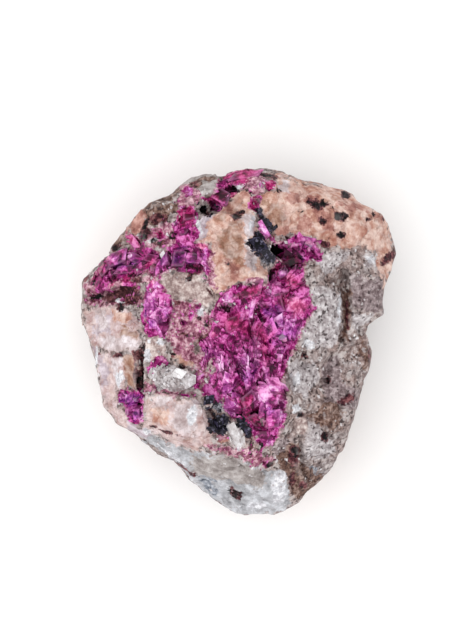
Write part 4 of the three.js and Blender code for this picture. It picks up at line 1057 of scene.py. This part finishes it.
RHOMB = crystal_form(CLEAVAGE_LEAN)
LARGE_RHOMB = crystal_form(CLEAVAGE_LEAN, bevel=0.05, cuts=5)
MAGENTA_SINGLES = [  # x, y and proud in mm, size in mm, turn and lean in degrees, tint
    (12.2, 8.2, 0.5, (5, 3.4, 3), -8, (8, -6), 0.5),
    (8.6, 8.4, 0.4, (2.2, 4, 3), 20, (-8, -4), 0.4),
    (7.2, 6.2, 0.4, (4.4, 2.4, 3), 0, (4, 10), 0.45),
    (1.8, 11, 0.4, (5.6, 3.2, 3), 12, (-6, 8), 0.2),
    (-2.6, 9.6, 0.4, (3, 2.4, 3), 50, (-10, 6), 0.6),
    (2.6, 7.2, 0.5, (0.9, 4.2, 3), -8, (10, -4), 0.6),
    (8.6, 3.4, 0.4, (5.2, 1.7, 3), 8, (4, 8), 0.5),
    (-1.4, 4, 0.3, (4.6, 3, 3), 20, (-4, -6), 0.4),
    (4.6, 2.2, 0.4, (1.6, 4.4, 3), -14, (8, -4), 0.45),
    (10.6, 0.8, 0.4, (2.8, 1.8, 3), 20, (8, -8), 0.5),
    (5.8, -11.2, 0.6, (5, 4.2, 3), -5, (-3, -6), 0.65),
    (0.9, -3.2, 0.7, (0.8, 3.8, 2), 4, (10, 0), 0.9),
    (-4.2, -4.6, 0.6, (0.7, 4.2, 2), 5, (-10, 2), 0.9),
    (3.2, -5.4, 0.7, (0.6, 3.4, 2), 8, (8, -4), 1.0),
    (3.9, -1.6, 0.6, (0.6, 3, 2), -6, (-8, 4), 0.8),
    (5.7, -7, 0.6, (0.7, 3, 2), 2, (12, 0), 1.0),
    (-1.4, -6.4, 0.6, (0.7, 3.6, 2), -8, (-12, 2), 0.7),
    (7, -3, 0.6, (0.7, 3.6, 2), 10, (8, 4), 0.8),
    (-2.4, -2.2, 0.5, (0.6, 3, 2), 14, (-6, 0), 0.7),
    (8.4, -6, 0.5, (0.6, 2.8, 2), -4, (10, -4), 0.8),
    (1.8, -8.4, 0.6, (0.7, 2.8, 2), 16, (6, 0), 0.9),
    (9.6, 15.2, 0.5, (3, 0.8, 2), 72, (-6, 4), 0.4),
    (11.2, 14.8, 0.6, (3.2, 0.8, 2), 48, (4, 8), 0.4),
    (12.4, 12.4, 0.5, (3.4, 0.9, 2), 14, (8, -6), 0.6),
    (1.8, -12.6, 0.4, (3.2, 2.6, 3), 36, (-8, 4), 0.45),
    (3.4, -17, 0.5, (4.2, 2.4, 3), -40, (6, 8), 0.4),
    (6.8, -16.6, 0.4, (3, 4, 3), 8, (6, -6), 0.55),
    (0.6, 36.2, 0.3, (6.6, 2.6, 3), 14, (0, 0), 0.5),
    (-4.8, 31, 0.4, (5.4, 1.8, 3), 32, (-8, 6), 0.4),
    (-26.6, 18, 0.7, (4.6, 2.8, 3), 12, (-8, 6), 0.15),
    (-29.4, 16.2, 0.4, (2, 4, 3), -32, (-4, 4), 0.1),
    (-22.8, 18.2, 0.6, (4.4, 2, 3), -28, (-6, 8), 0.15),
    (-25, 15.7, 0.5, (5.2, 1.8, 3), 4, (4, 8), 0.1),
    (-21, 15.9, 0.5, (3.6, 1.4, 3), 24, (6, -4), 0.3),
    (-23.2, 22.2, 0.5, (4.6, 1.6, 3), -45, (-8, 6), 0.55),
    (-16.8, 16.6, 0.7, (4.4, 1.6, 3), 38, (-6, -8), 0.55),
    (-13.6, 17.8, 0.6, (2.8, 3.4, 3), 4, (8, 6), 0.15),
    (-10.4, 18.4, 0.6, (3.6, 2.2, 3), -6, (4, -8), 0.1),
    (-19.4, 18.2, 0.5, (3, 1.8, 3), -20, (-4, 4), 0.1),
    (-12.2, 24.2, 0.5, (3.4, 2.6, 3), 60, (-6, 4), 0.2),
    (-11.4, 27.4, 0.5, (2.6, 3, 3), 20, (6, 6), 0.35),
    (-18.9, 4.2, 0.5, (2, 2.4, 3), 12, (6, -8), 0.55),
    (-16.2, 6.6, 0.5, (1.6, 3, 3), 20, (-8, 4), 0.5),
    (-17.4, 2.6, 0.5, (0.8, 3.4, 3), 20, (6, 0), 0.65),
    (5.3, 24.4, 0.6, (1.1, 4, 3), 34, (8, 0), 0.6),
    (13.4, 22, 0.5, (4.4, 2, 3), -20, (6, 10), 0.3),
    (16.6, 20.2, 0.4, (3, 1.5, 3), -42, (8, 8), 0.35),
    (9.4, 14.8, 0.5, (2.4, 2, 3), 34, (4, 8), 0.3),
    (12, 13.4, 0.5, (3.6, 1.8, 3), 30, (6, -6), 0.55),
    (-24, -12.4, 0.5, (2.6, 2, 3), 10, (-6, 6), 0.45),
    (-22.4, -15.6, 0.5, (1.8, 2.6, 3), 16, (-4, -6), 0.6),
]
large_crystals = [set_crystal(*single) for single in MAGENTA_SINGLES]
free = step(0.7, 1, crust) * (1 - 0.8 * masks["brown"]) * (1 - calm) * beside(MAGENTA_SINGLES)
well_inside = free * step(0.78, 0.95, grown)
small_crystals = scatter(  # short rhombs
    well_inside, 260, length=(2, 3.9), slim=(0.5, 0.85), deep=(0.3, 0.5), tilt=0.24,
    proud=(-0.15, 0.25))
small_crystals += scatter(  # thin blades that stand up
    free * masks["blades"], 360, length=(1.6, 3.6), slim=(0.14, 0.26), deep=(0.5, 0.8), tilt=0.2,
    proud=(0.2, 0.7))
small_crystals += scatter(  # small grains between the others
    free, 700, length=(0.5, 1.3), slim=(0.4, 0.85), deep=(0.6, 1.0), tilt=0.42, proud=(-0.1, 0.2))
small_crystals += scatter(  # finer grains on the pink border
    masks["blush"] * rock, 420, length=(0.3, 0.8), slim=(0.4, 0.8), deep=(0.6, 1.0), tilt=0.45,
    proud=(-0.1, 0.1))
magenta_masks = ("hollow", "margin", *OTHER_PINKS)
magenta_pieces = [
    join_crystals("magenta_rhombs", LARGE_RHOMB, large_crystals, magenta_masks, ripple=0.16),
    join_crystals("magenta_blades", RHOMB, small_crystals, magenta_masks),
]

magenta_paint, tree, shader = new_paint("magenta_crystal")
own_shade = ranged(tree, mask_of(tree, "tint"), 0.0, 1.0, -0.13, 0.09)
cloudy = ranged(tree, use_clouds(tree, size=1.7), 0.3, 0.7, 0.2, 0.8)
value = summed(tree, cloudy, own_shade)
pink_shades = add(tree, "ShaderNodeGroup", {"Value": value}, node_tree=pinks)
for look in OTHER_PINKS:
    tree.links.new(mask_of(tree, look), pink_shades.inputs[look])
# Painted shade darkens the crystals in the skin's hollows and towards their bases, where they go into
# the crust, and a painted highlight lightens the edges of the large rhombs.
painted_shade = scaled(tree, mask_of(tree, "hollow"), 0.6)
border = scaled(tree, mask_of(tree, "margin"), 0.35)
base_shade = scaled(tree, mask_of(tree, "root"), 0.8)
rim_highlight = scaled(tree, scaled(tree, mask_of(tree, "rim"), use_clouds(tree, size=1.1)), 0.3)
tone = mix(tree, painted_shade, pink_shades.outputs["Color"], colour(90, 30, 56), "MULTIPLY")
tone = mix(tree, border, tone, colour(150, 92, 118))
tone = mix(tree, base_shade, tone, colour(96, 14, 62), "MULTIPLY")
tone = mix(tree, rim_highlight, tone, colour(238, 166, 216))
tree.links.new(tone, shader.inputs["Base Color"])
shader.inputs["Roughness"].default_value = 0.3
shader.inputs["Specular IOR Level"].default_value = 0.2
for piece in magenta_pieces:
    piece.data.materials.append(magenta_paint)
    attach(piece, "root")
    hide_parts("stone")

# The peach calcite: flat cleaved plates, low and much alike in their lie, that make
# the steps of the peach blocks. They are the same growth as the rock's peach skin.
facing_up = step(0.8, 0.95, broad_normals[:, 2])
peach_plates = scatter(
    calcite * facing_up, 90, length=(1.4, 3.4), slim=(0.5, 0.9), deep=(0.3, 0.4), tilt=0.03,
    proud=(-0.08, 0.05))
plate_form = crystal_form(CLEAVAGE_LEAN, cuts=5)
calcite_piece = join_crystals("peach_calcite", plate_form, peach_plates, tuple(masks))
calcite_piece.data.materials.append(paint_rock("peach_calcite", bump=0.4))
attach(calcite_piece, "root")
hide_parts("stone")

# The black crystals: three glossy rhombs in a row beside the peach block, from black to
# grey, three more at the lower left, and clusters of small black grains round them. All
# of them are grown into the rock.
DARK_SINGLES = [  # x, y and proud in mm, size in mm, turn and lean in degrees, tint
    (3.7, 21.5, 0.6, (3.2, 2.6, 3), -57, (-4, 6), 0.0),
    (5.5, 19.5, 0.4, (3.2, 1.8, 3), -50, (8, -4), 0.5),
    (7.1, 18.1, 0.3, (2, 1.4, 3), -60, (6, 8), 1.0),
    (-4.4, -17.2, 0.7, (2.4, 2.2, 3), 28, (10, -6), 0.1),
    (-6.8, -12.6, 0.6, (2, 1.8, 3), 10, (-6, 8), 0.0),
    (0.7, -18, 0.5, (3.2, 1.4, 3), -38, (-4, -8), 0.1),
]
dark_crystals = [set_crystal(*single) for single in DARK_SINGLES]
dark_crystals += scatter(
    clusters * beside(DARK_SINGLES), 220, length=(0.4, 1.1), slim=(0.6, 1.0), deep=(0.6, 1.0),
    tilt=0.3, proud=(-0.05, 0.2))
dark_piece = join_crystals("dark_crystals", RHOMB, dark_crystals)
dark_paint, tree, shader = new_paint("dark_crystal")
speckle = use_speckle(tree, size=0.5, spread=0.14)
glints = scaled(tree, use_grains(tree, size=0.45, share=0.1), 0.45)
black = use_tones(tree, speckle, (1, 1, 4), (10, 8, 18), (58, 54, 76))
tone = mix(tree, scaled(tree, mask_of(tree, "tint"), 0.35), black, colour(96, 94, 104))
tone = mix(tree, glints, tone, colour(134, 130, 154))
tree.links.new(tone, shader.inputs["Base Color"])
shader.inputs["Roughness"].default_value = 0.3
shader.inputs["Specular IOR Level"].default_value = 0.12
dark_piece.data.materials.append(dark_paint)
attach(dark_piece, "root")
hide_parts("stone")

# The white quartz: a frosty cluster at the lower left, a few single crystals, and pale
# grains all over the grey rock and here and there in the magenta crust, all grown fast.
QUARTZ_SINGLES = [  # x, y and proud in mm, size in mm, turn and lean in degrees, tint
    (-11, -8.4, 0.6, (2.4, 2, 3), 16, (6, -14), 1.0),
    (-13.2, -6.6, 0.6, (2.6, 2, 3), -20, (-10, -6), 1.0),
    (-15.8, -7.8, 0.4, (1.8, 1.4, 3), 30, (6, -6), 0.8),
    (-1, -20.1, 0.7, (1.6, 5, 3), 30, (4, -8), 0.7),
    (-16.5, 18.9, 0.6, (1.3, 1.3, 2), 40, (8, -6), 1.0),
    (-5.1, 4.2, 0.5, (1.3, 1.1, 2), 10, (8, -6), 0.9),
]
quartz_crystals = [set_crystal(*single) for single in QUARTZ_SINGLES]
quartz_crystals += scatter(
    masks["quartz"], 300, length=(0.5, 1.3), slim=(0.4, 1.0), deep=(0.5, 0.9), tilt=0.5,
    proud=(0.0, 0.35))
grainy = rock * (1 - masks["brown"]) + 0.3 * crust
quartz_crystals += scatter(
    grainy, 500, length=(0.3, 0.7), slim=(0.6, 1.0), deep=(0.5, 0.9), tilt=0.4, proud=(-0.1, 0.12))
quartz_piece = join_crystals("white_quartz", RHOMB, quartz_crystals)
quartz_paint, tree, shader = new_paint("white_quartz")
milky = use_tones(tree, use_clouds(tree, size=1.2), (166, 160, 162), (204, 200, 202), (240, 240, 244))
tone = mix(tree, mask_of(tree, "tint"), colour(150, 138, 138), milky)
tree.links.new(tone, shader.inputs["Base Color"])
shader.inputs["Roughness"].default_value = 0.35
quartz_piece.data.materials.append(quartz_paint)
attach(quartz_piece, "root")
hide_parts("stone")
